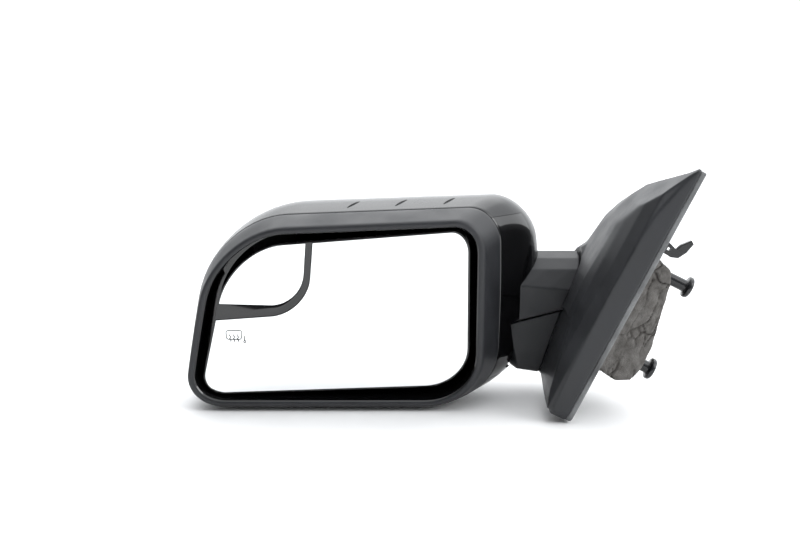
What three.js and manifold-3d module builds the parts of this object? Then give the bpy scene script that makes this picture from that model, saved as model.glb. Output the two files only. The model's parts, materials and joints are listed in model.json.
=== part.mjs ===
// Door mirror with power glass: base with door flange, folding head, heated glass and blind-spot glass.
// Millimetres. +X points inboard to the door, +Y forwards, +Z up. The origin is on the inboard face of
// the sail gasket, in the middle of its rear strip, where the mirror beds on the door.
import * as THREE from 'three';
import { mergeVertices } from 'three/addons/utils/BufferGeometryUtils.js';
import Module from 'manifold-3d';

const wasm = await Module();
wasm.setup();

// ---------------------------------------------------------------- driving dimensions
const GAP = 0.3;                 // between parts that are fitted together
const SEAT = 0.05;               // between flat faces that are screwed together

// sail: the triangular base cover on the door flange
const LEAN = THREE.MathUtils.degToRad(26.3);   // lean of the door flange, top edge inboard
const SAIL_HEIGHT = 234;         // along the flange, rear edge
const SAIL_LENGTH = 150;         // fore and aft
const SAIL_DEPTH = 19;           // outboard face to gasket
const SAIL_TIP_DEPTH = 3;        // the same at the top tip
const SAIL_TAPER_HEIGHT = 62;    // length of the taper to the tip
const SAIL_WALL = 2.6;
const GASKET_THICKNESS = 4.6;
const GASKET_STRIP = 12;         // width of the gasket strip

// foam, studs and hook on the door side
const FOAM_LOW = 45;             // heights above the foot of the flange
const FOAM_HIGH = 153;
const FOAM_OUT_TOP = 22;         // how far the foam stands inboard of the flange
const FOAM_OUT_LOW = 37;
const FOAM_LENGTH = 82;
const STUD_RADIUS = 5.2;
const STUD_HEAD_RADIUS = 9.3;
const STUD_HEAD_THICKNESS = 4;
const STUD_REACH = 49;           // end of the stud heads, inboard of the gasket face
const HOOK_REACH = 24;
const HOOK_WIDTH = 4.5;

// fold pivot
const PIVOT = new THREE.Vector3(-60.1, 88, -27);
const TILT = THREE.MathUtils.degToRad(14.3);   // pivot axis, top leaning outboard
const PIVOT_RADIUS = 27.6;       // outer radius of the swivelling block at its foot
const PIVOT_FLARE = 0.25;        // growth of that radius with height
const FOOT_RADIUS = 46;          // outer radius of the fixed foot
const FOLD_GAP = 1.2;            // joint line between the fixed foot and the swivelling block
const POST_RADIUS = 7;
const POST_BORE = 4.6;
const SPRING_WIRE = 1.6;
const SPRING_TURNS = 4.5;
const SPRING_STEPS = 10;         // straight pieces in one turn of the spring
const RING_RADIUS = 17;
const RING_THICKNESS = 4;
const BRACKET_THICKNESS = 5;
const SPRING_LENGTH = 15;
const WASHER_THICKNESS = 1.5;
const RETAINER_THICKNESS = 3;

// arm between sail and head
const ARM_REAR = 64;             // y of the rear face
const ARM_DEPTH = 50;            // fore and aft
const ARM_TOP = 22;              // z of the crest
const ARM_WALL = 2.5;

// head shell
const RIM_WIDTH = 255.2;
const RIM_HEIGHT = 161.5;
const RIM_INBOARD = -120;        // x of the inboard edge of the rim
const HEAD = new THREE.Vector3(RIM_INBOARD - RIM_WIDTH / 2, 26, -19.7);   // middle of the rim plane
const HEAD_DEPTH = 118;
const SEAM_DEPTH = 22;           // joint line between bezel and cap
const SHELL_WALL = 2.6;
const RIM_BAND = 5.6;              // flat rim around the recess
const RECESS_WALL = 2.2;
const RECESS_DEPTH = 33;
const FRAME_FRONT = 56;          // depth of the inner frame plate
const FRAME_THICKNESS = 3;

// glass
const GLASS_FACE = 12.5;         // depth of the glass behind the rim plane
const GLASS_THICKNESS = 2;
const HEATER_THICKNESS = 0.5;
const CARRIER_THICKNESS = 2.5;
const CARRIER_LIP = 1.5;
const GLASS_LEFT_GAP = 14;       // from rim edge to glass edge, at the outboard bottom corner
const GLASS_RIGHT_GAP = 13;
const GLASS_TOP_GAP = 11.8;
const GLASS_BOTTOM_GAP = 8.4;

// glass drive
const GIMBAL_DEPTH = 24;         // depth of both tilt axes
const GIMBAL_RADIUS = 10;
const GIMBAL_WIDTH = 4;
const PIN_RADIUS = 2;
const LEVER = 30;                // from tilt axis to plunger
const ACTUATOR_FRONT = 34;
const GEAR_RADIUS = 9;
const GEAR_TEETH = 18;
const GEAR_THICKNESS = 6;
const WORM_RADIUS = 3.2;
const WORM_LENGTH = 11;
const MOTOR_RADIUS = 8.5;
const MOTOR_LENGTH = 25;

// ---------------------------------------------------------------- materials
function material(colour, roughness, metalness = 0) {
  return new THREE.MeshStandardMaterial({ color: colour, roughness, metalness });
}
const GRAINED = material(0x2b2c2e, 0.62);
const SATIN = material(0x1b1c1e, 0.35);
const GLOSS = material(0x0c0c0d, 0.12);
const INNER = material(0x202124, 0.5);
const CASTING = material(0x8d9093, 0.45, 0.9);
const STEEL = material(0xa4a7aa, 0.3, 1);
const MIRROR = material(0xe8ecee, 0.03, 1);
const FOAM = material(0x6b6763, 0.95);
const RUBBER = material(0x4a4b4c, 0.85);
const NYLON = material(0xd9d6cc, 0.5);
const FOIL = material(0xc77b3a, 0.5, 0.4);
const BRASS = material(0xb8963e, 0.35, 1);

// ---------------------------------------------------------------- solid helpers
function solid(geometry) {
  const plain = geometry.clone();
  plain.deleteAttribute('normal');
  plain.deleteAttribute('uv');
  const merged = mergeVertices(plain, 1e-4);
  const source = new wasm.Mesh({
    numProp: 3,
    vertProperties: new Float32Array(merged.attributes.position.array),
    triVerts: new Uint32Array(merged.index.array),
  });
  source.merge();
  return new wasm.Manifold(source);
}

function geometryOf(body) {
  const source = body.getMesh();
  const geometry = new THREE.BufferGeometry();
  geometry.setAttribute('position', new THREE.BufferAttribute(source.vertProperties, 3));
  geometry.setIndex(new THREE.BufferAttribute(source.triVerts, 1));
  geometry.computeVertexNormals();
  return geometry;
}

function add(name, shape, finish, parent) {
  const geometry = shape.isBufferGeometry ? shape : geometryOf(shape);
  const mesh = new THREE.Mesh(geometry, finish);
  mesh.name = name;
  parent.add(mesh);
  return mesh;
}

// Closed skin through loops of equal length; the ends are closed by fans.
function loft(loops) {
  const count = loops[0].length;
  const points = loops.flat();
  const faces = [];
  for (let ring = 0; ring < loops.length - 1; ring += 1) {
    for (let i = 0; i < count; i += 1) {
      const a = ring * count + i;
      const b = ring * count + (i + 1) % count;
      faces.push(a, b, b + count, a, b + count, a + count);
    }
  }
  for (const [ring, flip] of [[0, true], [loops.length - 1, false]]) {
    const middle = new THREE.Vector3();
    loops[ring].forEach((point) => middle.addScaledVector(point, 1 / count));
    const hub = points.push(middle) - 1;
    for (let i = 0; i < count; i += 1) {
      const a = ring * count + i;
      const b = ring * count + (i + 1) % count;
      faces.push(...(flip ? [hub, b, a] : [hub, a, b]));
    }
  }
  const geometry = new THREE.BufferGeometry();
  const flat = points.flatMap((point) => [point.x, point.y, point.z]);
  geometry.setAttribute('position', new THREE.Float32BufferAttribute(flat, 3));
  geometry.setIndex(faces);
  const body = solid(geometry);
  if (body.volume() > 0) return body;
  const turned = [];
  for (let i = 0; i < faces.length; i += 3) turned.push(faces[i], faces[i + 2], faces[i + 1]);
  geometry.setIndex(turned);
  return solid(geometry);
}

// Outline points [a, b] pushed along a third axis: 'x' takes [y, z], 'y' takes [x, z].
function prism(outline, axis, from, to) {
  const signed = THREE.ShapeUtils.area(outline.map(([a, b]) => new THREE.Vector2(a, b)));
  const ring = signed < 0 ? [...outline].reverse() : outline;
  const place = axis === 'x'
    ? (depth) => ring.map(([y, z]) => [depth, y, z])
    : (depth) => ring.map(([x, z]) => [x, depth, z]);
  const count = ring.length;
  const caps = THREE.ShapeUtils.triangulateShape(ring.map(([a, b]) => new THREE.Vector2(a, b)), []);
  const faces = [];
  for (let i = 0; i < count; i += 1) {
    const next = (i + 1) % count;
    faces.push([i, next, next + count], [i, next + count, i + count]);
  }
  for (const [a, b, c] of caps) faces.push([a, c, b], [a + count, b + count, c + count]);
  const outwards = (axis === 'x') === (to > from);
  const index = faces.flatMap(([a, b, c]) => (outwards ? [a, b, c] : [a, c, b]));
  const geometry = new THREE.BufferGeometry();
  const flat = [...place(from), ...place(to)].flat();
  geometry.setAttribute('position', new THREE.Float32BufferAttribute(flat, 3));
  geometry.setIndex(index);
  return solid(geometry);
}

function box(width, depth, height, x, y, z) {
  return solid(new THREE.BoxGeometry(width, depth, height).translate(x, y, z));
}

// Turned part about a line through (x, y, z) along the given axis; the profile is [radius, along].
function turned(profile, axis = 'z', at = [0, 0, 0], segments = 24) {
  const points = profile.map(([radius, along]) => new THREE.Vector2(radius, along));
  const geometry = new THREE.LatheGeometry(points, segments);
  if (axis === 'z') geometry.rotateX(Math.PI / 2);
  if (axis === 'x') geometry.rotateZ(-Math.PI / 2);
  geometry.translate(...at);
  const body = solid(geometry);
  if (body.volume() > 0) return body;
  geometry.index.array.reverse();
  return solid(geometry);
}

function rod(radius, from, to, axis = 'z', at = [0, 0, 0], segments = 18) {
  return turned([[0, from], [radius, from], [radius, to], [0, to]], axis, at, segments);
}

function tube(outer, inner, from, to, axis = 'z', at = [0, 0, 0], segments = 24) {
  return turned([[inner, from], [outer, from], [outer, to], [inner, to], [inner, from]], axis, at, segments);
}

function moved(body, matrix) {
  return body.transform(matrix.elements);
}

function union(...bodies) {
  return bodies.reduce((whole, body) => whole.add(body));
}

// Smooth curve through [place, value] pairs.
function through(pairs, place) {
  const last = pairs.length - 1;
  let i = 0;
  while (i < last - 1 && place > pairs[i + 1][0]) i += 1;
  const [x0, y0] = pairs[i];
  const [x1, y1] = pairs[i + 1];
  const slope = (a, b) => (pairs[b][1] - pairs[a][1]) / (pairs[b][0] - pairs[a][0]);
  const m0 = i > 0 ? slope(i - 1, i + 1) : slope(0, 1);
  const m1 = i + 1 < last ? slope(i, i + 2) : slope(last - 1, last);
  const h = x1 - x0;
  const t = Math.min(1, Math.max(0, (place - x0) / h));
  const t2 = t * t;
  const t3 = t2 * t;
  return (2 * t3 - 3 * t2 + 1) * y0 + (t3 - 2 * t2 + t) * h * m0
    + (3 * t2 - 2 * t3) * y1 + (t3 - t2) * h * m1;
}

// Rounded polygon. A corner is { at: [a, b], before, after }: the reach of its rounding on both edges.
const ROUND = 0.5523;
function rounded(corners, inset = 0, cornerSteps = 5, edgeSteps = 2) {
  const count = corners.length;
  const area = corners.reduce((sum, corner, i) => {
    const next = corners[(i + 1) % count];
    return sum + corner.at[0] * next.at[1] - next.at[0] * corner.at[1];
  }, 0);
  const side = Math.sign(area);
  const lines = corners.map((corner, i) => {
    const next = corners[(i + 1) % count];
    const dx = next.at[0] - corner.at[0];
    const dy = next.at[1] - corner.at[1];
    const length = Math.hypot(dx, dy);
    const direction = [dx / length, dy / length];
    const normal = [-direction[1] * side, direction[0] * side];
    return { from: [corner.at[0] + normal[0] * inset, corner.at[1] + normal[1] * inset], direction };
  });
  const tips = corners.map((corner, i) => {
    const one = lines[(i + count - 1) % count];
    const two = lines[i];
    const cross = one.direction[0] * two.direction[1] - one.direction[1] * two.direction[0];
    const gapX = two.from[0] - one.from[0];
    const gapY = two.from[1] - one.from[1];
    const along = (gapX * two.direction[1] - gapY * two.direction[0]) / cross;
    return [one.from[0] + one.direction[0] * along, one.from[1] + one.direction[1] * along];
  });
  const lengths = tips.map((tip, i) => {
    const next = tips[(i + 1) % count];
    return Math.hypot(next[0] - tip[0], next[1] - tip[1]);
  });
  const starts = [];
  const ends = [];
  corners.forEach((corner, i) => {
    const limit = (reach, length) => Math.min(Math.max(reach - inset, 1), length * 0.46);
    const before = limit(corner.before, lengths[(i + count - 1) % count]);
    const after = limit(corner.after, lengths[i]);
    const [x, y] = tips[i];
    const one = lines[(i + count - 1) % count].direction;
    const two = lines[i].direction;
    starts.push([x - one[0] * before, y - one[1] * before]);
    ends.push([x + two[0] * after, y + two[1] * after]);
  });
  const outline = [];
  corners.forEach((corner, i) => {
    const [tip, start, end] = [tips[i], starts[i], ends[i]];
    const first = start.map((value, k) => value + (tip[k] - value) * ROUND);
    const second = end.map((value, k) => value + (tip[k] - value) * ROUND);
    for (let step = 0; step <= cornerSteps; step += 1) {
      const t = step / cornerSteps;
      const s = 1 - t;
      outline.push([0, 1].map((k) => s * s * s * start[k] + 3 * s * s * t * first[k]
        + 3 * s * t * t * second[k] + t * t * t * end[k]));
    }
    const next = starts[(i + 1) % count];
    for (let step = 1; step < edgeSteps; step += 1) {
      const t = step / edgeSteps;
      outline.push([0, 1].map((k) => end[k] + (next[k] - end[k]) * t));
    }
  });
  return outline;
}

// ---------------------------------------------------------------- frames of the sub-assemblies
const assembly = new THREE.Group();
const flangeGroup = new THREE.Group();      // X inboard across the flange, Z up along it
flangeGroup.rotation.y = LEAN;
const pivotGroup = new THREE.Group();       // Z along the fold axis, 0 at the joint line
pivotGroup.position.copy(PIVOT);
pivotGroup.rotation.y = -TILT;
const headGroup = new THREE.Group();        // Y is the depth behind the rim plane
headGroup.position.copy(HEAD);
assembly.add(flangeGroup, pivotGroup, headGroup);
assembly.updateMatrixWorld(true);
const FLANGE = flangeGroup.matrixWorld;
const AXIS = pivotGroup.matrixWorld;
const TO_FLANGE = FLANGE.clone().invert();
const TO_HEAD = headGroup.matrixWorld.clone().invert();

// ---------------------------------------------------------------- head outline
// How far each side of the shell stands outside the rim, by depth.
const GROWTH = {
  top: [[0, 0], [SEAM_DEPTH, 8], [52, 14.5], [80, 9], [100, -8], [112, -28], [HEAD_DEPTH, -44]],
  bottom: [[0, 0], [SEAM_DEPTH, 1.8], [52, -1.5], [80, -14], [100, -30], [112, -44], [HEAD_DEPTH, -56]],
  outboard: [[0, 0], [SEAM_DEPTH, 2.5], [52, 2.5], [80, -10], [100, -34], [112, -58], [HEAD_DEPTH, -78]],
  inboard: [[0, 0], [SEAM_DEPTH, 14.3], [52, 38], [80, 42], [100, 22], [112, -6], [HEAD_DEPTH, -30]],
  bulge: [[0, 0.5], [SEAM_DEPTH, 2], [52, 11], [80, 9], [100, 5], [112, 2], [HEAD_DEPTH, 0]],
  rounding: [[0, 1], [SEAM_DEPTH, 1.05], [52, 1.25], [80, 1.3], [100, 1.3], [112, 1.2], [HEAD_DEPTH, 1.1]],
};
const OUTBOARD_LEAN = 28.5;        // how far the outboard edge leans in at the top
const TOP_FALL = 9.5;            // how far the top edge falls towards the outboard side
const OUTBOARD_BULGE = 3;

function shellOutline(depth, inset = 0) {
  const grow = (side) => through(GROWTH[side], depth);
  const left = -RIM_WIDTH / 2 - grow('outboard');
  const right = RIM_WIDTH / 2 - 2.8 + grow('inboard');
  const top = RIM_HEIGHT / 2 + grow('top');
  const bottom = -RIM_HEIGHT / 2 - grow('bottom');
  const scale = grow('rounding');
  const corners = [
    { at: [left, bottom], before: 30 * scale, after: 34 * scale },
    { at: [right, bottom], before: 48 * scale, after: 44 * scale },
    { at: [right + 1, top], before: 30 * scale, after: 26 * scale },
    { at: [left + OUTBOARD_LEAN, top - TOP_FALL], before: 60 * scale, after: 64 * scale },
  ];
  const halfWidth = (right - left) / 2;
  const halfHeight = (top - bottom) / 2;
  const bulge = grow('bulge');
  return rounded(corners, inset).map(([x, z]) => {
    const u = (x - (right + left) / 2) / halfWidth;
    const v = (z - (top + bottom) / 2) / halfHeight;
    const lift = Math.max(0, 1 - v * v);
    const push = u > 0 ? bulge * u ** 3 : OUTBOARD_BULGE * u ** 3;
    return [x + push * lift, z];
  });
}

function shellLoft(depths, inset = 0) {
  return loft(depths.map((depth) => shellOutline(depth, inset)
    .map(([x, z]) => new THREE.Vector3(x, depth, z))));
}

// ---------------------------------------------------------------- arm outline
// The arm runs along X. The swivelling block and the fixed foot are both cut from this one shape.
const ARM_FROM = -106;
function armSection(x, inset = 0) {
  const along = x - ARM_FROM;
  const rear = ARM_REAR + inset;
  const front = ARM_REAR + ARM_DEPTH - inset;
  const edge = ARM_TOP - 23.5 - 0.088 * along - inset * 0.6;
  const bottom = -76 - 0.151 * along + inset;
  const top = ARM_TOP - inset;
  return [
    [rear, bottom + 2], [rear, edge], [rear + 10, ARM_TOP - 12.5 - inset], [rear + 20, top - 4.5],
    [rear + 32, top], [front - 9, top - 3], [front - 2, top - 12], [front, top - 30],
    [front, bottom + 14], [front - 12, bottom + 2], [rear + 20, bottom], [rear + 3, bottom],
  ].map(([y, z]) => new THREE.Vector3(x, y, z));
}

function armLoft(from, to, inset = 0) {
  const steps = 4;
  const loops = [];
  for (let i = 0; i <= steps; i += 1) loops.push(armSection(from + (to - from) * i / steps, inset));
  return loft(loops);
}

// Space of the swivelling block: a flaring cone about the fold axis and everything outboard of it.
const BLOCK_HEIGHT = 70;
function swivelSpace(offset, foot) {
  const radius = PIVOT_RADIUS + offset;
  const cone = turned([
    [0, foot], [radius + foot * PIVOT_FLARE, foot],
    [radius + BLOCK_HEIGHT * PIVOT_FLARE, BLOCK_HEIGHT], [0, BLOCK_HEIGHT],
  ], 'z', [0, 0, 0], 64);
  const reach = 90;
  const outboard = box(reach, 140, BLOCK_HEIGHT - foot, -reach / 2, 0, (BLOCK_HEIGHT + foot) / 2);
  return moved(cone.add(outboard), AXIS);
}

// ---------------------------------------------------------------- sail
// Flange frame: X inboard, Y forwards, Z along the flange with its foot at FLANGE_FOOT.
const FLANGE_FOOT = -SAIL_HEIGHT / 2;
const FLANGE_TOP = SAIL_HEIGHT / 2;
const SAIL_REAR = -GASKET_STRIP / 2;
const SAIL_FRONT = SAIL_REAR + SAIL_LENGTH;
const COVER_EDGE = -GASKET_THICKNESS;          // inboard edge of the cover, where the gasket starts
const PLATE_THICKNESS = 4;
const PLATE_FACE = COVER_EDGE - 3;             // inboard face of the casting plate
const TAIL_LENGTH = 24;                        // tail of the sail below the neck
const TAIL_HEIGHT = 14;

function sailOutline(inset = 0) {
  const neckLine = FLANGE_FOOT + TAIL_HEIGHT;
  const corners = [
    { at: [SAIL_REAR, FLANGE_FOOT], before: 7, after: 7 },
    { at: [SAIL_REAR + TAIL_LENGTH, FLANGE_FOOT + 1], before: 8, after: 7 },
    { at: [SAIL_REAR + TAIL_LENGTH + 10, neckLine], before: 7, after: 8 },
    { at: [SAIL_FRONT - 22, neckLine + 4], before: 34, after: 34 },
    { at: [SAIL_FRONT, FLANGE_FOOT + 105], before: 40, after: 34 },
    { at: [SAIL_FRONT - 40, FLANGE_TOP - 54], before: 26, after: 26 },
    { at: [SAIL_REAR, FLANGE_TOP], before: 5, after: 5 },
  ];
  return rounded(corners, inset, 5, 2);
}

// Thickness of the sail along the flange: thin at the tip, full at mid height, slimmer at the foot.
function sailProfile(wall, swell = 0) {
  const inner = COVER_EDGE;
  const outer = (depth, share = 1) => inner - Math.max(depth + swell * share - wall, 0.4);
  const foot = wall ? FLANGE_FOOT + wall : FLANGE_FOOT - 1;
  const taper = SAIL_DEPTH - SAIL_TIP_DEPTH;
  return [
    [inner + (wall ? 5 : 0), foot], [inner + (wall ? 5 : 0), FLANGE_TOP + 1],
    [outer(SAIL_TIP_DEPTH, 0), FLANGE_TOP + 1],
    [outer(SAIL_TIP_DEPTH, 0), FLANGE_TOP - 2],
    [outer(SAIL_TIP_DEPTH + 0.45 * taper, 0.4), FLANGE_TOP - 0.42 * SAIL_TAPER_HEIGHT],
    [outer(SAIL_TIP_DEPTH + 0.8 * taper, 0.8), FLANGE_TOP - 0.8 * SAIL_TAPER_HEIGHT],
    [outer(SAIL_DEPTH - 1), FLANGE_TOP - SAIL_TAPER_HEIGHT - 8],
    [outer(SAIL_DEPTH), FLANGE_FOOT + 110],
    [outer(SAIL_DEPTH - 2), FLANGE_FOOT + 50],
    [outer(SAIL_DEPTH - 5, 0.2), foot],
  ];
}

// Swell of the outboard face: it rises from the edges towards the arm.
const SWELL = 15;
function swellLoft(wall) {
  const corners = [
    { at: [SAIL_REAR, FLANGE_FOOT + 2], before: 5, after: 5 },
    { at: [SAIL_FRONT - 22, FLANGE_FOOT + TAIL_HEIGHT + 4], before: 34, after: 34 },
    { at: [SAIL_FRONT, FLANGE_FOOT + 105], before: 40, after: 34 },
    { at: [SAIL_FRONT - 40, FLANGE_TOP - 54], before: 26, after: 26 },
    { at: [SAIL_REAR, FLANGE_TOP - 2], before: 5, after: 5 },
  ];
  const face = COVER_EDGE - SAIL_DEPTH + wall;
  const loops = [[SAIL_DEPTH - 0.2, 0.8], [0.2, 0.8], [-0.45 * SWELL, 11], [-0.8 * SWELL, 24], [-SWELL, 38]]
    .map(([rise, inset]) => rounded(corners, wall + inset, 5, 2)
      .map(([y, z]) => new THREE.Vector3(face + rise, y, z)));
  return loft(loops);
}

function sailSlab(wall) {
  const reach = SAIL_DEPTH + 6;
  const plan = prism(sailOutline(wall), 'x', COVER_EDGE - reach, COVER_EDGE + (wall ? 5 : 0));
  const slab = plan.intersect(prism(sailProfile(wall), 'y', SAIL_REAR - 5, SAIL_FRONT + 5));
  const side = prism(sailProfile(wall, SWELL), 'y', SAIL_REAR - 5, SAIL_FRONT + 5);
  return slab.add(swellLoft(wall).intersect(side));
}

// Neck: the arm cut parallel to the flange, spreading over the outboard face of the sail.
const NECK_REACH = 24;                         // length of the spread, square to the flange
const NECK_FOOT = [
  [36, 17], [71, 92], [76, 108], [73, 135], [66, 170], [88, 170],
  [106, 160], [122, 125], [122, 64], [106, 30], [62, 17], [44, 16],
];
function neckStart(inset) {
  const plane = COVER_EDGE - SAIL_DEPTH - NECK_REACH;
  const low = armSection(-60, inset);
  return low.map((point, k) => {
    const x = (plane + Math.sin(LEAN) * point.z) / Math.cos(LEAN);
    return armSection(x, inset)[k].applyMatrix4(TO_FLANGE);
  });
}

function neckLoft(inset) {
  const start = neckStart(inset);
  const middle = [SAIL_REAR + 86, FLANGE_FOOT + 95];
  const end = NECK_FOOT.map(([y, height]) => {
    const z = FLANGE_FOOT + height;
    const length = Math.hypot(y - middle[0], z - middle[1]);
    const pull = inset / length;
    return new THREE.Vector3(COVER_EDGE - SAIL_DEPTH + 1.5 + inset * 1.5,
      y + (middle[0] - y) * pull, z + (middle[1] - z) * pull);
  });
  const loops = [];
  const steps = 4;
  for (let i = 0; i <= steps; i += 1) {
    const t = i / steps;
    loops.push(start.map((point, k) => new THREE.Vector3(
      point.x + (end[k].x - point.x) * t,
      point.y + (end[k].y - point.y) * t,
      point.z + (end[k].z - point.z) * t ** 1.35,
    )));
  }
  return moved(loft(loops), FLANGE);
}

// Everything inboard of the joint between foot cover and sail cover.
const COVER_JOINT = [[-52.6, -28.2], [-69.2, -78.8]];
function inboardOfJoint(shift) {
  const [[x1, z1], [x0, z0]] = COVER_JOINT;
  const slope = (x1 - x0) / (z1 - z0);
  const at = (z) => x0 + (z - z0) * slope + shift;
  const outline = [
    [at(-130), -130], [120, -130], [120, 130], [-120, 130], [-120, z1 + 8], [at(z1 + 8), z1 + 8],
  ];
  return prism(outline, 'y', -60, 200);
}

const COVER_SCREWS = [{ y: 42, height: 172 }, { y: 12, height: 32 }];
const BOSS_RADIUS = 17;
const swept = swivelSpace(FOLD_GAP, -FOLD_GAP);
const footDrum = moved(union(
  rod(FOOT_RADIUS, -90, 5, 'z', [0, 0, 0], 56),
  box(120, 160, 160, 60, 0, 0),
), AXIS);
const ARM_TO = -20;              // the arm shape ends inside the neck
const armOuter = armLoft(ARM_FROM, ARM_TO);
const armInner = armLoft(ARM_FROM - 1, ARM_TO + 8, ARM_WALL);
const fixedOuter = armOuter.subtract(swept).intersect(footDrum);
const fixedInner = armInner
  .subtract(swivelSpace(FOLD_GAP + ARM_WALL, -FOLD_GAP - ARM_WALL))
  .intersect(moved(union(
    rod(FOOT_RADIUS - ARM_WALL, -90, 5, 'z', [0, 0, 0], 56),
    box(120, 160, 160, 60, 0, 0),
  ), AXIS));
const bossHole = moved(rod(BOSS_RADIUS + GAP, -20, 5, 'z', [0, 0, 0], 40), AXIS);

function makeSailCover() {
  const outboard = prism(sailOutline(-40), 'x', -90, COVER_EDGE);
  const neck = neckLoft(0).add(armOuter).intersect(inboardOfJoint(GAP));
  const slab = moved(sailSlab(0), FLANGE).intersect(inboardOfJoint(GAP));
  const outer = slab.add(neck.intersect(moved(outboard, FLANGE))).subtract(swept);
  const hollow = moved(sailSlab(SAIL_WALL), FLANGE).add(neckLoft(ARM_WALL))
    .intersect(inboardOfJoint(GAP + ARM_WALL)).add(armInner);
  const inner = hollow.subtract(swivelSpace(FOLD_GAP + ARM_WALL, -FOLD_GAP - ARM_WALL));
  let body = outer.subtract(inner).subtract(bossHole);
  for (const { y, height } of COVER_SCREWS) {
    const at = [0, y, FLANGE_FOOT + height];
    const end = PLATE_FACE - PLATE_THICKNESS - GAP;
    const boss = moved(rod(4, COVER_EDGE - SAIL_DEPTH - SWELL - 4, end, 'x', at, 12), FLANGE);
    body = body.add(boss.intersect(outer)).subtract(moved(rod(1.5, end - 9, end + 2, 'x', at, 10), FLANGE));
  }
  return body;
}

function makeFootCover() {
  return fixedOuter.subtract(inboardOfJoint(0)).subtract(fixedInner).subtract(bossHole);
}

function makeGasket() {
  const outer = prism(sailOutline(0.6), 'x', COVER_EDGE + SEAT, 0);
  const inner = prism(sailOutline(GASKET_STRIP), 'x', COVER_EDGE - 1, 1);
  return outer.subtract(inner);
}

// ---------------------------------------------------------------- base casting
const STUDS = [
  { name: 'mounting_stud_upper', y: 45, height: 140 },
  { name: 'mounting_stud_lower', y: 27, height: 66 },
  { name: 'mounting_stud_front', y: 114, height: 96 },
];
const GROMMET = { y: 62, height: 120, radius: 9 };

function makeBaseCasting() {
  const plate = prism(sailOutline(SAIL_WALL + 4), 'x', PLATE_FACE - PLATE_THICKNESS, PLATE_FACE)
    .intersect(box(60, 400, 400, 0, 0, FLANGE_TOP - 46 - 200));
  const bosses = STUDS.map(({ y, height }) => rod(10, PLATE_FACE - 9, PLATE_FACE, 'x',
    [0, y, FLANGE_FOOT + height]));
  let body = union(plate, ...bosses);
  body = body.subtract(rod(GROMMET.radius, PLATE_FACE - 20, PLATE_FACE + 5, 'x',
    [0, GROMMET.y, FLANGE_FOOT + GROMMET.height]));
  for (const { y, height } of COVER_SCREWS) {
    body = body.subtract(rod(1.9, PLATE_FACE - 20, PLATE_FACE + 5, 'x', [0, y, FLANGE_FOOT + height], 12));
  }
  for (const { y, height } of STUDS) {
    body = body.subtract(rod(4 + GAP, PLATE_FACE - 20, PLATE_FACE + 5, 'x', [0, y, FLANGE_FOOT + height]));
  }
  const boss = moved(rod(BOSS_RADIUS, -30, 0, 'z', [0, 0, 0], 40), AXIS);
  const beamLow = armSection(-62, ARM_WALL + 12)[0].z + 12;
  const beam = loft([-64, -4].map((x) => [
    [78, beamLow], [104, beamLow], [104, beamLow + 32], [78, beamLow + 32],
  ].map(([y, z]) => new THREE.Vector3(x, y, z + (x + 64) * 0.45))));
  const reach = prism(sailOutline(SAIL_WALL + 5), 'x', -90, PLATE_FACE - 0.5);
  const blockRoom = swivelSpace(FOLD_GAP + ARM_WALL + GAP, -FOLD_GAP - ARM_WALL - GAP);
  const trimmed = beam.intersect(moved(reach, FLANGE)).subtract(blockRoom);
  body = moved(body, FLANGE).add(boss).add(trimmed);
  const bore = moved(rod(POST_RADIUS + GAP, -29, 1, 'z'), AXIS);
  return body.subtract(bore);
}

// ---------------------------------------------------------------- door side pieces (flange frame)
function studHole(extra, stud) {
  return rod(STUD_RADIUS + extra, -60, 80, 'x', [0, stud.y, FLANGE_FOOT + stud.height], 24);
}

function makeFoam() {
  const low = FLANGE_FOOT + FOAM_LOW;
  const high = FLANGE_FOOT + FOAM_HIGH;
  const span = FOAM_HIGH - FOAM_LOW;
  const back = PLATE_FACE + GAP;
  const side = [
    [back, low + 4], [FOAM_OUT_LOW - 16, low], [FOAM_OUT_LOW - 4, low + 6],
    [FOAM_OUT_LOW, low + 0.2 * span], [FOAM_OUT_LOW - 1, low + 0.38 * span],
    [FOAM_OUT_TOP + 7, low + 0.66 * span], [FOAM_OUT_TOP + 2, low + 0.88 * span],
    [FOAM_OUT_TOP - 4, high - 3], [FOAM_OUT_TOP - 12, high], [back, high - 5],
  ];
  const rear = SAIL_REAR + GASKET_STRIP + 3;
  const block = prism(side, 'y', rear, rear + FOAM_LENGTH);
  const plan = prism(rounded([
    { at: [rear, low - 5], before: 10, after: 10 },
    { at: [rear + FOAM_LENGTH, low - 5], before: 20, after: 20 },
    { at: [rear + FOAM_LENGTH, high + 5], before: 24, after: 24 },
    { at: [rear, high + 5], before: 14, after: 14 },
  ], 0, 4, 2), 'x', back - 1, 60);
  let body = block.intersect(plan);
  for (const stud of STUDS) body = body.subtract(studHole(1, stud));
  return body.subtract(rod(GROMMET.radius + 4, -20, 80, 'x', [0, GROMMET.y, FLANGE_FOOT + GROMMET.height]));
}

function makeStud(stud) {
  const end = STUD_REACH;
  const neck = end - STUD_HEAD_THICKNESS;
  const root = PLATE_FACE - 9;
  return turned([
    [0, root], [4, root], [4, PLATE_FACE], [STUD_RADIUS, PLATE_FACE + GAP], [STUD_RADIUS, neck],
    [STUD_HEAD_RADIUS - 0.6, neck], [STUD_HEAD_RADIUS, neck + 0.6], [STUD_HEAD_RADIUS, end - 1],
    [STUD_HEAD_RADIUS - 1, end], [0, end],
  ], 'x', [0, stud.y, FLANGE_FOOT + stud.height], 20);
}

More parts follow.
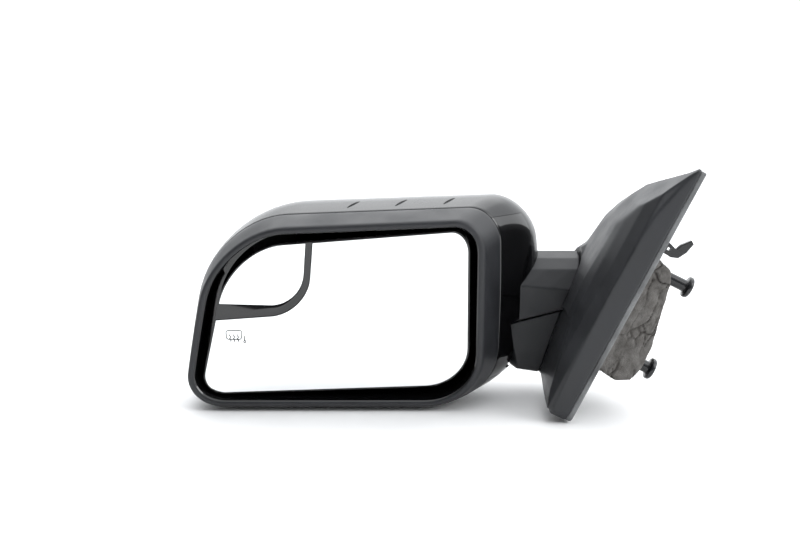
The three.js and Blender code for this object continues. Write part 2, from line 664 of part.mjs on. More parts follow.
function makeHook() {
  const z = FLANGE_FOOT + 161;
  const y = 22;
  const side = [
    [PLATE_FACE + GAP, z - 1], [PLATE_FACE + GAP, z + 9], [6, z + 8], [HOOK_REACH - 9, z + 5],
    [HOOK_REACH - 7, z + 10], [HOOK_REACH - 1, z + 17], [HOOK_REACH + 2, z + 15], [HOOK_REACH, z + 6],
    [HOOK_REACH - 4, z - 1], [HOOK_REACH - 10, z - 3],
  ];
  const arm = prism(side, 'y', y - HOOK_WIDTH / 2, y + HOOK_WIDTH / 2);
  const shoe = box(2, 12, 16, PLATE_FACE + GAP + 1, y, z + 4);
  return arm.add(shoe);
}

function makeGrommet() {
  const r = GROMMET.radius;
  const at = [0, GROMMET.y, FLANGE_FOOT + GROMMET.height];
  const back = PLATE_FACE - PLATE_THICKNESS;
  return turned([
    [r - 3, back - 3], [r + 2.5, back - 3], [r + 2.5, back - GAP], [r - GAP, back - GAP],
    [r - GAP, PLATE_FACE + GAP], [r + 2.5, PLATE_FACE + GAP], [r + 2.5, PLATE_FACE + 3],
    [r - 3, PLATE_FACE + 8],
    [r - 4.5, PLATE_FACE + 8], [r - 4.5, back - 3], [r - 3, back - 3],
  ], 'x', at, 16);
}

function screwProfile(headRadius, headHeight, shankRadius, length) {
  return [
    [0, 0], [shankRadius, 0], [shankRadius, length], [headRadius, length],
    [headRadius, length + headHeight * 0.5], [headRadius * 0.6, length + headHeight], [0, length + headHeight],
  ];
}

// ---------------------------------------------------------------- fold pivot (axis frame)
const RING_FOOT = SEAT;
const RING_TOP = RING_FOOT + RING_THICKNESS;
const UPPER_RING_FOOT = RING_TOP + GAP;
const HUB_FOOT = UPPER_RING_FOOT + RING_THICKNESS + SEAT;
const HUB_TOP = HUB_FOOT + BRACKET_THICKNESS;
const SPRING_FOOT = HUB_TOP + GAP;
const WASHER_FOOT = SPRING_FOOT + SPRING_LENGTH + GAP;
const RETAINER_FOOT = WASHER_FOOT + WASHER_THICKNESS + SEAT;
const POST_TOP = RETAINER_FOOT + RETAINER_THICKNESS + 1;
const SPRING_RADIUS = POST_RADIUS + 1 + SPRING_WIRE;

function detentRing(foot, notchUp) {
  let ring = tube(RING_RADIUS, POST_RADIUS + GAP, foot, foot + RING_THICKNESS, 'z', [0, 0, 0], 30);
  for (let i = 0; i < 3; i += 1) {
    const turn = new THREE.Matrix4().makeRotationZ(i * 2 * Math.PI / 3);
    const level = notchUp ? foot + RING_THICKNESS : foot;
    const notch = solid(new THREE.CylinderGeometry(1.6, 1.6, 8, 8).translate(0, RING_RADIUS - 2.5, 0))
      .translate([0, 0, level]);
    ring = ring.subtract(moved(notch, turn));
  }
  return ring;
}

function makeSpring() {
  const points = [];
  const steps = Math.round(SPRING_TURNS * SPRING_STEPS);
  const travel = SPRING_LENGTH - 2 * SPRING_WIRE;
  for (let i = 0; i <= steps; i += 1) {
    const angle = i / SPRING_STEPS * 2 * Math.PI;
    const height = SPRING_FOOT + SPRING_WIRE + travel * i / steps;
    points.push(new THREE.Vector3(SPRING_RADIUS * Math.cos(angle), SPRING_RADIUS * Math.sin(angle), height));
  }
  const section = new THREE.Shape();
  const wire = SPRING_WIRE * 0.92;
  const sides = 6;
  for (let i = 0; i < sides; i += 1) {
    const angle = i / sides * 2 * Math.PI;
    const [x, y] = [wire * Math.cos(angle), wire * Math.sin(angle)];
    if (i === 0) section.moveTo(x, y); else section.lineTo(x, y);
  }
  section.closePath();
  const path = new THREE.CatmullRomCurve3(points);
  return solid(new THREE.ExtrudeGeometry(section, { steps, extrudePath: path, bevelEnabled: false }));
}

const BRACKET_PAD = { left: -182, right: -128, low: -62, high: -8, thickness: 6 };
const FRAME_BACK = HEAD.y + FRAME_FRONT + FRAME_THICKNESS;   // world y of the bracket seat
function makeBracket() {
  const pad = BRACKET_PAD;
  const seat = FRAME_BACK + SEAT;
  const hub = tube(20, POST_RADIUS + GAP, HUB_FOOT, HUB_TOP, 'z', [0, 0, 0], 40);
  const beam = box(66, 17, 13, -15 - 33, 6.5, HUB_FOOT + 6.5);
  const clear = rod(SPRING_RADIUS + SPRING_WIRE + 1, HUB_TOP, 60, 'z');
  const world = moved(hub.add(beam).subtract(clear), AXIS);
  const plate = box(pad.right - pad.left, pad.thickness, pad.high - pad.low,
    (pad.left + pad.right) / 2, seat + pad.thickness / 2, (pad.low + pad.high) / 2);
  const behind = box(300, 60, 300, -150, seat - 30, 0);
  const trimmed = world.subtract(behind.intersect(box(100, 100, 300, -90 - 50, 50, 0)));
  let body = trimmed.add(plate);
  for (const [x, z] of BRACKET_SCREWS) {
    body = body.subtract(rod(2.2 + GAP, seat - 2, seat + 20, 'y', [x, 0, z], 12));
  }
  return body;
}
const BRACKET_SCREWS = [
  [BRACKET_PAD.left + 8, BRACKET_PAD.high - 9],
  [BRACKET_PAD.left + 8, BRACKET_PAD.low + 9],
  [BRACKET_PAD.right - 8, BRACKET_PAD.low + 7],
];

function makeBlockCover() {
  const outer = armOuter.intersect(swivelSpace(0, 0));
  const inner = armInner.intersect(swivelSpace(-ARM_WALL, -8));
  return outer.subtract(inner);
}

// ---------------------------------------------------------------- head shell pieces (head frame)
const headArmCut = moved(armLoft(ARM_FROM - 60, ARM_TO, -GAP - 0.1), TO_HEAD);
const headDrumCut = moved(moved(rod(FOOT_RADIUS + 2, -110, FOLD_GAP, 'z', [0, 0, 0], 56), AXIS), TO_HEAD);
const headArmSpace = headArmCut.add(headDrumCut);
const capDepths = [SEAM_DEPTH + GAP, 38, FRAME_FRONT, FRAME_FRONT + FRAME_THICKNESS,
  74, 88, 100, 109, 114, HEAD_DEPTH];
const PANEL_BACK = 50;           // depth where the inboard panel ends
const PANEL_TOP = RIM_HEIGHT / 2 - 1.75;            // height of its top edge in the head frame
const PANEL_SIDE = RIM_WIDTH / 2 - 8;          // inboard of this

function panelSpace(shrink) {
  const low = -RIM_HEIGHT / 2 + 18 + shrink;
  const high = PANEL_TOP - shrink;
  return box(160, PANEL_BACK - shrink, high - low, PANEL_SIDE + 80 + shrink,
    (PANEL_BACK - shrink) / 2, (high + low) / 2);
}

const capHollow = [SEAM_DEPTH - 2, ...capDepths.slice(0, -1), HEAD_DEPTH - SHELL_WALL];
const capShell = shellLoft(capDepths).subtract(shellLoft(capHollow, SHELL_WALL)).subtract(headArmSpace);

function makeCap() {
  return capShell.subtract(panelSpace(0));
}

function makePanel() {
  return capShell.intersect(panelSpace(GAP));
}

const BEZEL_BOSSES = [
  [-16, RIM_HEIGHT / 2 - 4.35], [RIM_WIDTH / 2 - 42, RIM_HEIGHT / 2 - 0.55],
  [RIM_WIDTH / 2 - 3.4, 22], [RIM_WIDTH / 2 - 3.4, -34],
];
function recessOutline(inset) {
  return shellOutline(0, RIM_BAND + inset);
}

function makeBezel() {
  const skin = shellLoft([0, 3, 11, SEAM_DEPTH]).subtract(
    shellLoft([3, 11, SEAM_DEPTH, SEAM_DEPTH + 1], SHELL_WALL),
  );
  const wall = prism(recessOutline(-RECESS_WALL), 'y', 0.4, RECESS_DEPTH);
  let body = skin.add(wall).subtract(prism(recessOutline(0), 'y', -5, RECESS_DEPTH + 5));
  for (const [x, z] of BEZEL_BOSSES) {
    const end = FRAME_FRONT - SEAT;
    body = body.add(rod(3.4, 17, end, 'y', [x, 0, z], 14));
    body = body.subtract(rod(1.3, end - 12, end + 2, 'y', [x, 0, z], 10));
  }
  return body;
}

function makeFrame() {
  const outer = shellLoft([FRAME_FRONT, FRAME_FRONT + FRAME_THICKNESS], SHELL_WALL + GAP);
  let body = outer.subtract(headArmSpace);
  const window = (x, z, width, height) => box(width, 20, height, x, FRAME_FRONT + 1, z);
  body = body.subtract(window(-92, 12, 40, 70)).subtract(window(-92, -52, 40, 34));
  body = body.subtract(window(0, 62, 70, 18)).subtract(window(0, -66, 80, 14));
  for (const [x, z] of BEZEL_BOSSES) {
    body = body.subtract(rod(1.9, FRAME_FRONT - 2, FRAME_FRONT + 10, 'y', [x, 0, z], 12));
  }
  for (const [x, z] of BRACKET_SCREWS) {
    body = body.subtract(rod(1.9, FRAME_FRONT - 2, FRAME_FRONT + 10, 'y', [x - HEAD.x, 0, z - HEAD.z], 16));
  }
  for (const [x, z] of ACTUATOR_SCREWS) {
    body = body.subtract(rod(1.9, FRAME_FRONT - 2, FRAME_FRONT + 10, 'y', [x, 0, z], 12));
  }
  return body;
}

// ---------------------------------------------------------------- glass drive (head frame)
const GLASS_MIDDLE = [-1, -2];   // x, z of the crossing tilt axes
const [MX, MZ] = GLASS_MIDDLE;
const ACTUATOR_BACK = FRAME_FRONT - SEAT;
const ACTUATOR_SPLIT = 47;
const ACTUATOR_WALL = 2;
const GEAR_DEPTH = 39;
const GEAR_BACK = GEAR_DEPTH + GEAR_THICKNESS;
const WORM_OFFSET = GEAR_RADIUS + GAP + WORM_RADIUS;
const ACTUATOR_REACH = LEVER + WORM_OFFSET + MOTOR_RADIUS + ACTUATOR_WALL + 1;
const SCREW_REACH = ACTUATOR_REACH - 10;
const ACTUATOR_SCREWS = [
  [MX - SCREW_REACH, MZ + SCREW_REACH], [MX + 37, MZ + 30], [MX - SCREW_REACH, MZ - SCREW_REACH],
];
const ACTUATOR_OUTLINE = [
  { at: [MX - ACTUATOR_REACH, MZ - ACTUATOR_REACH], before: 16, after: 16 },
  { at: [MX + 46, MZ - ACTUATOR_REACH], before: 16, after: 16 },
  { at: [MX + 46, MZ + ACTUATOR_REACH], before: 16, after: 16 },
  { at: [MX - ACTUATOR_REACH, MZ + ACTUATOR_REACH], before: 16, after: 16 },
];
const YAW_GEAR = [MX - LEVER, MZ];
const PITCH_GEAR = [MX, MZ - LEVER];
const PLUNGER_RADIUS = 3;
const PLUNGER_TRAVEL = 4;        // from rest, each way

function actuatorHoles(body) {
  let cut = body;
  for (const [x, z] of ACTUATOR_SCREWS) {
    cut = cut.subtract(rod(1.7, 0, 80, 'y', [x, 0, z], 12));
  }
  return cut;
}

function makeActuatorCover() {
  const face = ACTUATOR_FRONT;
  const shell = prism(rounded(ACTUATOR_OUTLINE, 0, 4, 1), 'y', face, ACTUATOR_SPLIT - SEAT);
  const inside = prism(rounded(ACTUATOR_OUTLINE, ACTUATOR_WALL, 4, 1), 'y', face + ACTUATOR_WALL, 60);
  let body = shell.subtract(inside);
  for (const [x, z] of ACTUATOR_SCREWS) {
    body = body.add(rod(4, face + 0.5, ACTUATOR_SPLIT - SEAT, 'y', [x, 0, z], 12));
  }
  for (const [x, z] of [YAW_GEAR, PITCH_GEAR]) {
    body = body.add(tube(6, PLUNGER_RADIUS + 0.5, face - 2, face + 3, 'y', [x, 0, z], 14));
    body = body.subtract(rod(PLUNGER_RADIUS + 0.5, face - 5, face + 8, 'y', [x, 0, z], 14));
  }
  for (const side of [-1, 1]) {
    const z = MZ + side * (GIMBAL_RADIUS + 5.5);
    body = body.add(box(8, face + 1 - GIMBAL_DEPTH + 3, 4, MX, (face + 1 + GIMBAL_DEPTH - 3) / 2, z));
  }
  const pinBore = rod(PIN_RADIUS + GAP, MZ - 40, MZ + 40, 'z', [MX, GIMBAL_DEPTH, 0], 20);
  return actuatorHoles(body).subtract(pinBore.intersect(box(20, 12, 60, MX, GIMBAL_DEPTH, MZ)));
}

function makeActuatorBase() {
  const shell = prism(rounded(ACTUATOR_OUTLINE, 0, 4, 1), 'y', ACTUATOR_SPLIT, ACTUATOR_BACK);
  const inside = prism(rounded(ACTUATOR_OUTLINE, ACTUATOR_WALL, 4, 1), 'y', 0, ACTUATOR_BACK - ACTUATOR_WALL);
  let body = shell.subtract(inside);
  for (const [x, z] of ACTUATOR_SCREWS) {
    body = body.add(rod(4, ACTUATOR_SPLIT, ACTUATOR_BACK - 1, 'y', [x, 0, z], 12));
  }
  for (const [x, z] of [YAW_GEAR, PITCH_GEAR]) {
    body = body.add(tube(5.5, PLUNGER_RADIUS + 0.5, GEAR_BACK + GAP, ACTUATOR_BACK - 1, 'y', [x, 0, z], 14));
    body = body.subtract(rod(PLUNGER_RADIUS + 0.5, GEAR_BACK - 5, ACTUATOR_BACK + 5, 'y', [x, 0, z], 14));
  }
  return actuatorHoles(body);
}

function makeGear([x, z]) {
  const points = [];
  const tooth = 2 * Math.PI / GEAR_TEETH;
  for (let i = 0; i < GEAR_TEETH; i += 1) {
    const shape = [[-0.3, 1.6], [-0.14, 0], [0.14, 0], [0.3, 1.6]];
    for (const [turn, drop] of shape) {
      const angle = (i + turn) * tooth;
      points.push([x + (GEAR_RADIUS - drop) * Math.cos(angle), z + (GEAR_RADIUS - drop) * Math.sin(angle)]);
    }
  }
  const wheel = prism(points, 'y', GEAR_DEPTH, GEAR_BACK);
  const bore = rod(PLUNGER_RADIUS + GAP, GEAR_DEPTH - 5, GEAR_BACK + 5, 'y', [x, 0, z], 14);
  const sleeve = rod(4.6, GEAR_DEPTH - 1.2, GEAR_DEPTH + 1, 'y', [x, 0, z], 14);
  return wheel.add(sleeve).subtract(bore);
}

// Worm on its motor shaft, along +Z; the thread is a row of collars on a core.
function wormProfile() {
  const profile = [[0, -WORM_LENGTH / 2]];
  const pitch = 2 * Math.PI * GEAR_RADIUS / GEAR_TEETH;
  const turns = Math.floor(WORM_LENGTH / pitch);
  const start = -turns * pitch / 2;
  profile.push([1.6, -WORM_LENGTH / 2]);
  for (let i = 0; i < turns; i += 1) {
    const foot = start + i * pitch;
    profile.push([1.9, foot + 0.2], [WORM_RADIUS, foot + pitch * 0.4], [WORM_RADIUS, foot + pitch * 0.6]);
    profile.push([1.9, foot + pitch - 0.2]);
  }
  profile.push([1.6, WORM_LENGTH / 2], [1, WORM_LENGTH / 2], [1, WORM_LENGTH / 2 + 6], [0, WORM_LENGTH / 2 + 6]);
  return profile;
}

function makeMotor() {
  const foot = WORM_LENGTH / 2 + 2;
  const end = foot + MOTOR_LENGTH;
  const can = turned([
    [1.3, foot], [3, foot], [3, foot + 1.5], [MOTOR_RADIUS - 0.8, foot + 1.5], [MOTOR_RADIUS, foot + 2.3],
    [MOTOR_RADIUS, end - 0.8], [MOTOR_RADIUS - 0.8, end], [0, end], [0, foot + 5], [1.3, foot + 5],
    [1.3, foot],
  ], 'z', [0, 0, 0], 20);
  return can.intersect(box(30, 2 * (GEAR_BACK - GEAR_DEPTH) - 1, 80, 0, 0, 30));
}

function makePlunger([x, z]) {
  const end = FRAME_FRONT - PLUNGER_TRAVEL - 1 - (GIMBAL_DEPTH - 1);
  return turned([
    [0, -3], [2.1, -2.1], [3, 0], [2.1, 2.1], [1.7, 3.2], [PLUNGER_RADIUS, 5],
    [PLUNGER_RADIUS, end - 1], [2.4, end], [0, end],
  ], 'y', [x, GIMBAL_DEPTH - 1, z], 14);
}

function makeGimbal() {
  const half = GIMBAL_WIDTH / 2;
  let ring = tube(GIMBAL_RADIUS, GIMBAL_RADIUS - 3, -half, half, 'y', [MX, GIMBAL_DEPTH, MZ], 24);
  const reach = GIMBAL_RADIUS + 7;
  for (const side of [-1, 1]) {
    const [near, far] = [side * (GIMBAL_RADIUS - 1.5), side * reach];
    const [low, high] = [Math.min(near, far), Math.max(near, far)];
    ring = ring.add(rod(PIN_RADIUS, low, high, 'z', [MX, GIMBAL_DEPTH, MZ], 16));
    ring = ring.add(rod(PIN_RADIUS, low, high, 'x', [MX, GIMBAL_DEPTH, MZ], 16));
  }
  return ring;
}

// ---------------------------------------------------------------- glass (head frame)
function glassCorners() {
  const left = -RIM_WIDTH / 2 + GLASS_LEFT_GAP - 1.5;
  const right = RIM_WIDTH / 2 - GLASS_RIGHT_GAP;
  const top = RIM_HEIGHT / 2 - GLASS_TOP_GAP;
  const bottom = -RIM_HEIGHT / 2 + GLASS_BOTTOM_GAP;
  return [
    { at: [left, bottom], before: 20, after: 21 },
    { at: [right - 1, bottom + 8], before: 36, after: 32 },
    { at: [right - 1.5, top], before: 19, after: 15 },
    { at: [left + 28.5, top - 15.5], before: 44, after: 48 },
  ];
}

const SPOT_RIGHT = -24;          // x of the upright edge of the blind-spot glass
const SPOT_FOOT = 4.7;           // z of its lower edge
const SPOT_FALL = 0.027;         // fall of that edge for each mm towards its corner
const MAIN_NOTCH_RIGHT = -18.6;
const MAIN_NOTCH_FOOT = -2.2;
const MAIN_NOTCH_FALL = -0.07;
const SPOT_LEAN = 0.075;         // lean of the upright edges

function spotSpace(right, foot, fall, reach) {
  return rounded([
    { at: [-300, foot + fall * (300 + right)], before: 1, after: 1 },
    { at: [right - 3.5, foot], before: reach, after: reach },
    { at: [right - 3.5 + SPOT_LEAN * (200 - foot), 200], before: 1, after: 1 },
    { at: [-300, 200], before: 1, after: 1 },
  ], 0, 5, 1);
}

function glassPlate(inset, from, to) {
  return prism(rounded(glassCorners(), inset, 5, 2), 'y', from, to);
}

const TERMINALS = [[MX + 30, MZ + 14], [MX + 30, MZ + 4]];
const GLASS_BACK = GLASS_FACE + GLASS_THICKNESS;
const HEATER_FACE = GLASS_BACK + SEAT;
const CARRIER_FACE = HEATER_FACE + HEATER_THICKNESS + SEAT;
const CARRIER_BACK = CARRIER_FACE + CARRIER_THICKNESS;
const notchOutline = spotSpace(MAIN_NOTCH_RIGHT, MAIN_NOTCH_FOOT, MAIN_NOTCH_FALL, 32);
const spotOutline = spotSpace(SPOT_RIGHT, SPOT_FOOT, SPOT_FALL, 27);

function makeMainGlass() {
  return glassPlate(0, GLASS_FACE, GLASS_BACK).subtract(prism(notchOutline, 'y', 0, 40));
}

function makeSpotGlass() {
  return glassPlate(0, GLASS_FACE, GLASS_BACK).intersect(prism(spotOutline, 'y', 0, 40));
}

function makeHeater() {
  const reach = spotSpace(MAIN_NOTCH_RIGHT + 3, MAIN_NOTCH_FOOT - 3, MAIN_NOTCH_FALL, 35);
  return glassPlate(4, HEATER_FACE, HEATER_FACE + HEATER_THICKNESS).subtract(prism(reach, 'y', 0, 40));
}

function makeCarrier() {
  const front = GLASS_FACE + 0.4;
  let body = glassPlate(-CARRIER_LIP, front, CARRIER_BACK);
  const pocket = glassPlate(-GAP, 0, HEATER_FACE);
  const barOuter = spotSpace(MAIN_NOTCH_RIGHT - GAP, MAIN_NOTCH_FOOT + GAP, MAIN_NOTCH_FALL, 32);
  const barInner = spotSpace(SPOT_RIGHT + GAP, SPOT_FOOT - GAP, SPOT_FALL, 27);
  const bar = prism(barOuter, 'y', front, CARRIER_FACE).subtract(prism(barInner, 'y', 0, 40));
  const spotSeat = prism(spotOutline, 'y', GLASS_BACK + SEAT, CARRIER_FACE);
  const heaterBed = glassPlate(4 - GAP, 0, CARRIER_FACE);
  body = body.subtract(pocket.subtract(bar))
    .subtract(heaterBed.subtract(bar).subtract(spotSeat));
  for (const side of [-1, 1]) {
    const x = MX + side * (GIMBAL_RADIUS + 4.5);
    const ear = box(4, GIMBAL_DEPTH + 4 - CARRIER_BACK + 1, 9, x, (CARRIER_BACK - 1 + GIMBAL_DEPTH + 4) / 2, MZ);
    body = body.add(ear);
  }
  const pinBore = rod(PIN_RADIUS + GAP, MX - 22, MX + 22, 'x', [0, GIMBAL_DEPTH, MZ], 20);
  body = body.subtract(pinBore);
  for (const [x, z] of [YAW_GEAR, PITCH_GEAR]) {
    const depth = GIMBAL_DEPTH - 1;
    body = body.add(tube(6.4, 3.9, CARRIER_BACK - 0.5, depth + 2, 'y', [x, 0, z], 12));
  }
  for (const [x, z] of TERMINALS) body = body.subtract(box(8, 20, 2.4, x, CARRIER_BACK, z));
  return body;
}

function makeTerminal([x, z]) {
  const foot = HEATER_FACE + HEATER_THICKNESS + SEAT;
  const blade = box(5.6, 9, 0.8, x, foot + 4.5, z);
  return blade.add(box(7, 0.6, 1.6, x, foot + 0.3, z)).subtract(rod(0.7, z - 2, z + 2, 'z', [x, foot + 6.5, 0], 10));
}

// ---------------------------------------------------------------- assembly
add('sail_cover', makeSailCover(), GRAINED, assembly);
add('arm_lower_cover', makeFootCover(), GRAINED, assembly);
add('base_casting', makeBaseCasting(), CASTING, assembly);
add('sail_gasket', makeGasket(), RUBBER, flangeGroup);
add('foam_block', makeFoam(), FOAM, flangeGroup);
for (const stud of STUDS) add(stud.name, makeStud(stud), SATIN, flangeGroup);
add('locating_hook', makeHook(), SATIN, flangeGroup);
add('harness_grommet', makeGrommet(), RUBBER, flangeGroup);
COVER_SCREWS.forEach(({ y, height }, i) => {
  const length = 12;
  const foot = PLATE_FACE + SEAT - length;
  const shape = turned(screwProfile(3.6, 2.2, 1.2, length), 'x', [foot, y, FLANGE_FOOT + height], 10);
  add(`cover_screw_${i + 1}`, shape, STEEL, flangeGroup);
});

add('pivot_post', tube(POST_RADIUS, POST_BORE, -28.5, POST_TOP), STEEL, pivotGroup);
add('detent_ring_lower', detentRing(RING_FOOT, true), STEEL, pivotGroup);
add('detent_ring_upper', detentRing(UPPER_RING_FOOT, false), STEEL, pivotGroup);
add('fold_spring', makeSpring(), STEEL, pivotGroup);
add('spring_washer', tube(SPRING_RADIUS + 2.5, POST_RADIUS + GAP, WASHER_FOOT, WASHER_FOOT + WASHER_THICKNESS),
  STEEL, pivotGroup);
add('post_retainer', tube(11, POST_RADIUS + GAP, RETAINER_FOOT, RETAINER_FOOT + RETAINER_THICKNESS),
  STEEL, pivotGroup);
add('arm_block_cover', makeBlockCover(), GRAINED, assembly);
add('head_bracket', makeBracket(), CASTING, assembly);
BRACKET_SCREWS.forEach(([x, z], i) => {
  const length = BRACKET_PAD.thickness + FRAME_THICKNESS + 2 + SEAT * 2;
  const shape = turned(screwProfile(4, 2.6, 1.6, length), 'y',
    [x, FRAME_BACK - FRAME_THICKNESS - 2, z], 12);
  add(`bracket_screw_${i + 1}`, shape, STEEL, assembly);
});

add('front_cap', makeCap(), SATIN, headGroup);
add('inboard_panel', makePanel(), GLOSS, headGroup);
add('rear_bezel', makeBezel(), GRAINED, headGroup);
add('head_frame', makeFrame(), INNER, headGroup);
BEZEL_BOSSES.forEach(([x, z], i) => {
  const length = 9 + FRAME_THICKNESS;
  const foot = FRAME_FRONT + FRAME_THICKNESS + SEAT - length;
  add(`bezel_screw_${i + 1}`, turned(screwProfile(3.2, 2, 1, length), 'y', [x, foot, z], 10), STEEL, headGroup);
});
add('actuator_cover', makeActuatorCover(), INNER, headGroup);
add('actuator_base', makeActuatorBase(), INNER, headGroup);
ACTUATOR_SCREWS.forEach(([x, z], i) => {
  const foot = ACTUATOR_FRONT + 5;
  const length = FRAME_FRONT + FRAME_THICKNESS + SEAT - foot;
  add(`actuator_screw_${i + 1}`, turned(screwProfile(3.2, 2, 1.4, length), 'y', [x, foot, z], 10), STEEL, headGroup);
});

const yawDrive = new THREE.Group();
yawDrive.position.set(YAW_GEAR[0] - WORM_OFFSET, (GEAR_DEPTH + GEAR_BACK) / 2, YAW_GEAR[1]);
const pitchDrive = new THREE.Group();
pitchDrive.position.set(PITCH_GEAR[0], (GEAR_DEPTH + GEAR_BACK) / 2, PITCH_GEAR[1] - WORM_OFFSET);
pitchDrive.rotation.y = Math.PI / 2;
headGroup.add(yawDrive, pitchDrive);
for (const [side, group, gear] of [['yaw', yawDrive, YAW_GEAR], ['pitch', pitchDrive, PITCH_GEAR]]) {
  add(`worm_${side}`, turned(wormProfile(), 'z', [0, 0, 0], 12), NYLON, group);
  add(`motor_${side}`, makeMotor(), STEEL, group);
  add(`nut_gear_${side}`, makeGear(gear), NYLON, headGroup);
  add(`plunger_${side}`, makePlunger(gear), NYLON, headGroup);
}
add('gimbal_ring', makeGimbal(), NYLON, headGroup);
add('glass_carrier', makeCarrier(), INNER, headGroup);
add('main_glass', makeMainGlass(), MIRROR, headGroup);
add('spotter_glass', makeSpotGlass(), MIRROR, headGroup);
add('heater_pad', makeHeater(), FOIL, headGroup);
TERMINALS.forEach((at, i) => add(`heater_terminal_${i + 1}`, makeTerminal(at), BRASS, headGroup));

export default assembly;
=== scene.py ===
# %% [markdown]
# # Door mirror with a heated glass
# This lesson builds the left door mirror of a light truck on top of its engineering model.
# The engineering model gives every part and every joint its true place, in metres, with +X towards the
# door, +Y forwards and +Z up. The lesson adds what that model leaves out: the smooth moulded shells, the
# fine grain of the plastics, the cracked foam and the silvered glass.

# %% Load the engineering model
import json
import math

import bmesh
import bpy
import numpy as np
from mathutils import Matrix, Vector, noise
from mathutils.bvhtree import BVHTree


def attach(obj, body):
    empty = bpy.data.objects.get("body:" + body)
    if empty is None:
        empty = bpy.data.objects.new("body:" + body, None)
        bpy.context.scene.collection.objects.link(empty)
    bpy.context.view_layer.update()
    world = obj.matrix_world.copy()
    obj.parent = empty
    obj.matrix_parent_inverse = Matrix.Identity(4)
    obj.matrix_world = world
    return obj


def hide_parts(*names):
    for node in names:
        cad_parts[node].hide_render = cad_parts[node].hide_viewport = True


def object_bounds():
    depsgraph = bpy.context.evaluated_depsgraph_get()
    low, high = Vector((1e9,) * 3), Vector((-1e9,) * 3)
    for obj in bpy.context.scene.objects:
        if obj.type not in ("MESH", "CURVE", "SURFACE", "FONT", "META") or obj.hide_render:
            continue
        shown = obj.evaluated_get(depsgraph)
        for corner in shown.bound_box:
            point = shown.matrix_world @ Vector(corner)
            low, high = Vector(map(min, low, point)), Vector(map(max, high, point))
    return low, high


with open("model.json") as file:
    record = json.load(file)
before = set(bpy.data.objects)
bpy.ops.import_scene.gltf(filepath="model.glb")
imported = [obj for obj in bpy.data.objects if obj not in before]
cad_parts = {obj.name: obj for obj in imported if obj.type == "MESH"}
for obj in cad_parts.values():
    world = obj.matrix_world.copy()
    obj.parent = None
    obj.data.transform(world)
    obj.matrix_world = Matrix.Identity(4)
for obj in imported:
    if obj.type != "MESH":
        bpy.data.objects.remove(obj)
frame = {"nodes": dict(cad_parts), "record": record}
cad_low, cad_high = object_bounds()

MM = 0.001

# %% [markdown]
# ## The studio
# A black plastic part shows its form only through what it reflects. A real studio puts it on a white
# table inside a white tent, and hangs one side of it with grey cloth, so that the edges stand out. Here a
# pale floor, a ceiling of soft light, one large lamp on the door side and a white sky that dims towards
# the outboard side do the same work. Small lamps would show as hard spots.

# %% Camera, floor and lamps
LOWEST = cad_low[2]


def place_camera():
    camera = bpy.data.objects.new("camera", bpy.data.cameras.new("camera"))
    bpy.context.collection.objects.link(camera)
    camera.location = Vector((-191.8, -912.8, 212.7)) * MM
    camera.rotation_euler = (math.radians(90 - 11.5), 0, 0)
    camera.data.lens = 52
    camera.data.sensor_width = 36
    bpy.context.scene.camera = camera
    return camera


def lay_floor():
    mesh = bpy.data.meshes.new("floor")
    bm = bmesh.new()
    bmesh.ops.create_grid(bm, x_segments=4, y_segments=4, size=6)
    bm.to_mesh(mesh)
    bm.free()
    floor = bpy.data.objects.new("floor", mesh)
    floor.location = (-0.2, 1.5, LOWEST - 0.0005)
    bpy.context.collection.objects.link(floor)
    return floor


def hang_lamp(name, place, aim, size, watts):
    lamp = bpy.data.objects.new(name, bpy.data.lights.new(name, "AREA"))
    bpy.context.collection.objects.link(lamp)
    lamp.data.shape = "RECTANGLE"
    lamp.data.size, lamp.data.size_y = size
    lamp.data.energy = watts
    lamp.location = place
    lamp.rotation_euler = (Vector(aim) - Vector(place)).to_track_quat("-Z", "Y").to_euler()
    return lamp


def hang_ceiling():
    """One very wide lamp overhead, a little in front of the mirror."""
    lamp = bpy.data.objects.new("ceiling", bpy.data.lights.new("ceiling", "SUN"))
    bpy.context.collection.objects.link(lamp)
    lamp.data.energy = 1.0
    lamp.data.angle = math.radians(60)
    lamp.rotation_euler = Vector((-0.1, -0.55, -1)).to_track_quat("-Z", "Y").to_euler()


def raise_tent():
    """White all round for the eye, but for the part darker on the outboard side and below."""
    world = bpy.data.worlds.new("white_tent")
    world.use_nodes = True
    bpy.context.scene.world = world
    tree = world.node_tree
    seen = tree.nodes["Background"]
    seen.inputs["Color"].default_value = (1, 1, 1, 1)
    seen.inputs["Strength"].default_value = 1.1
    cloth = tree.nodes.new("ShaderNodeBackground")
    cloth.inputs["Color"].default_value = (0.96, 0.98, 1.0, 1)
    place = tree.nodes.new("ShaderNodeTexCoord")
    lean = tree.nodes.new("ShaderNodeVectorMath")
    lean.operation = "DOT_PRODUCT"
    lean.inputs[1].default_value = (0.45, 0.66, 0.6)
    tree.links.new(place.outputs["Generated"], lean.inputs[0])
    glow = tree.nodes.new("ShaderNodeMapRange")
    glow.interpolation_type = "SMOOTHSTEP"
    glow.inputs["From Min"].default_value = -0.35
    glow.inputs["From Max"].default_value = 0.85
    glow.inputs["To Min"].default_value = 0.12
    glow.inputs["To Max"].default_value = 2.3
    tree.links.new(lean.outputs["Value"], glow.inputs["Value"])
    tree.links.new(glow.outputs["Result"], cloth.inputs["Strength"])
    ray = tree.nodes.new("ShaderNodeLightPath")
    mix = tree.nodes.new("ShaderNodeMixShader")
    tree.links.new(ray.outputs["Is Camera Ray"], mix.inputs[0])
    tree.links.new(cloth.outputs["Background"], mix.inputs[1])
    tree.links.new(seen.outputs["Background"], mix.inputs[2])
    tree.links.new(mix.outputs["Shader"], tree.nodes["World Output"].inputs["Surface"])


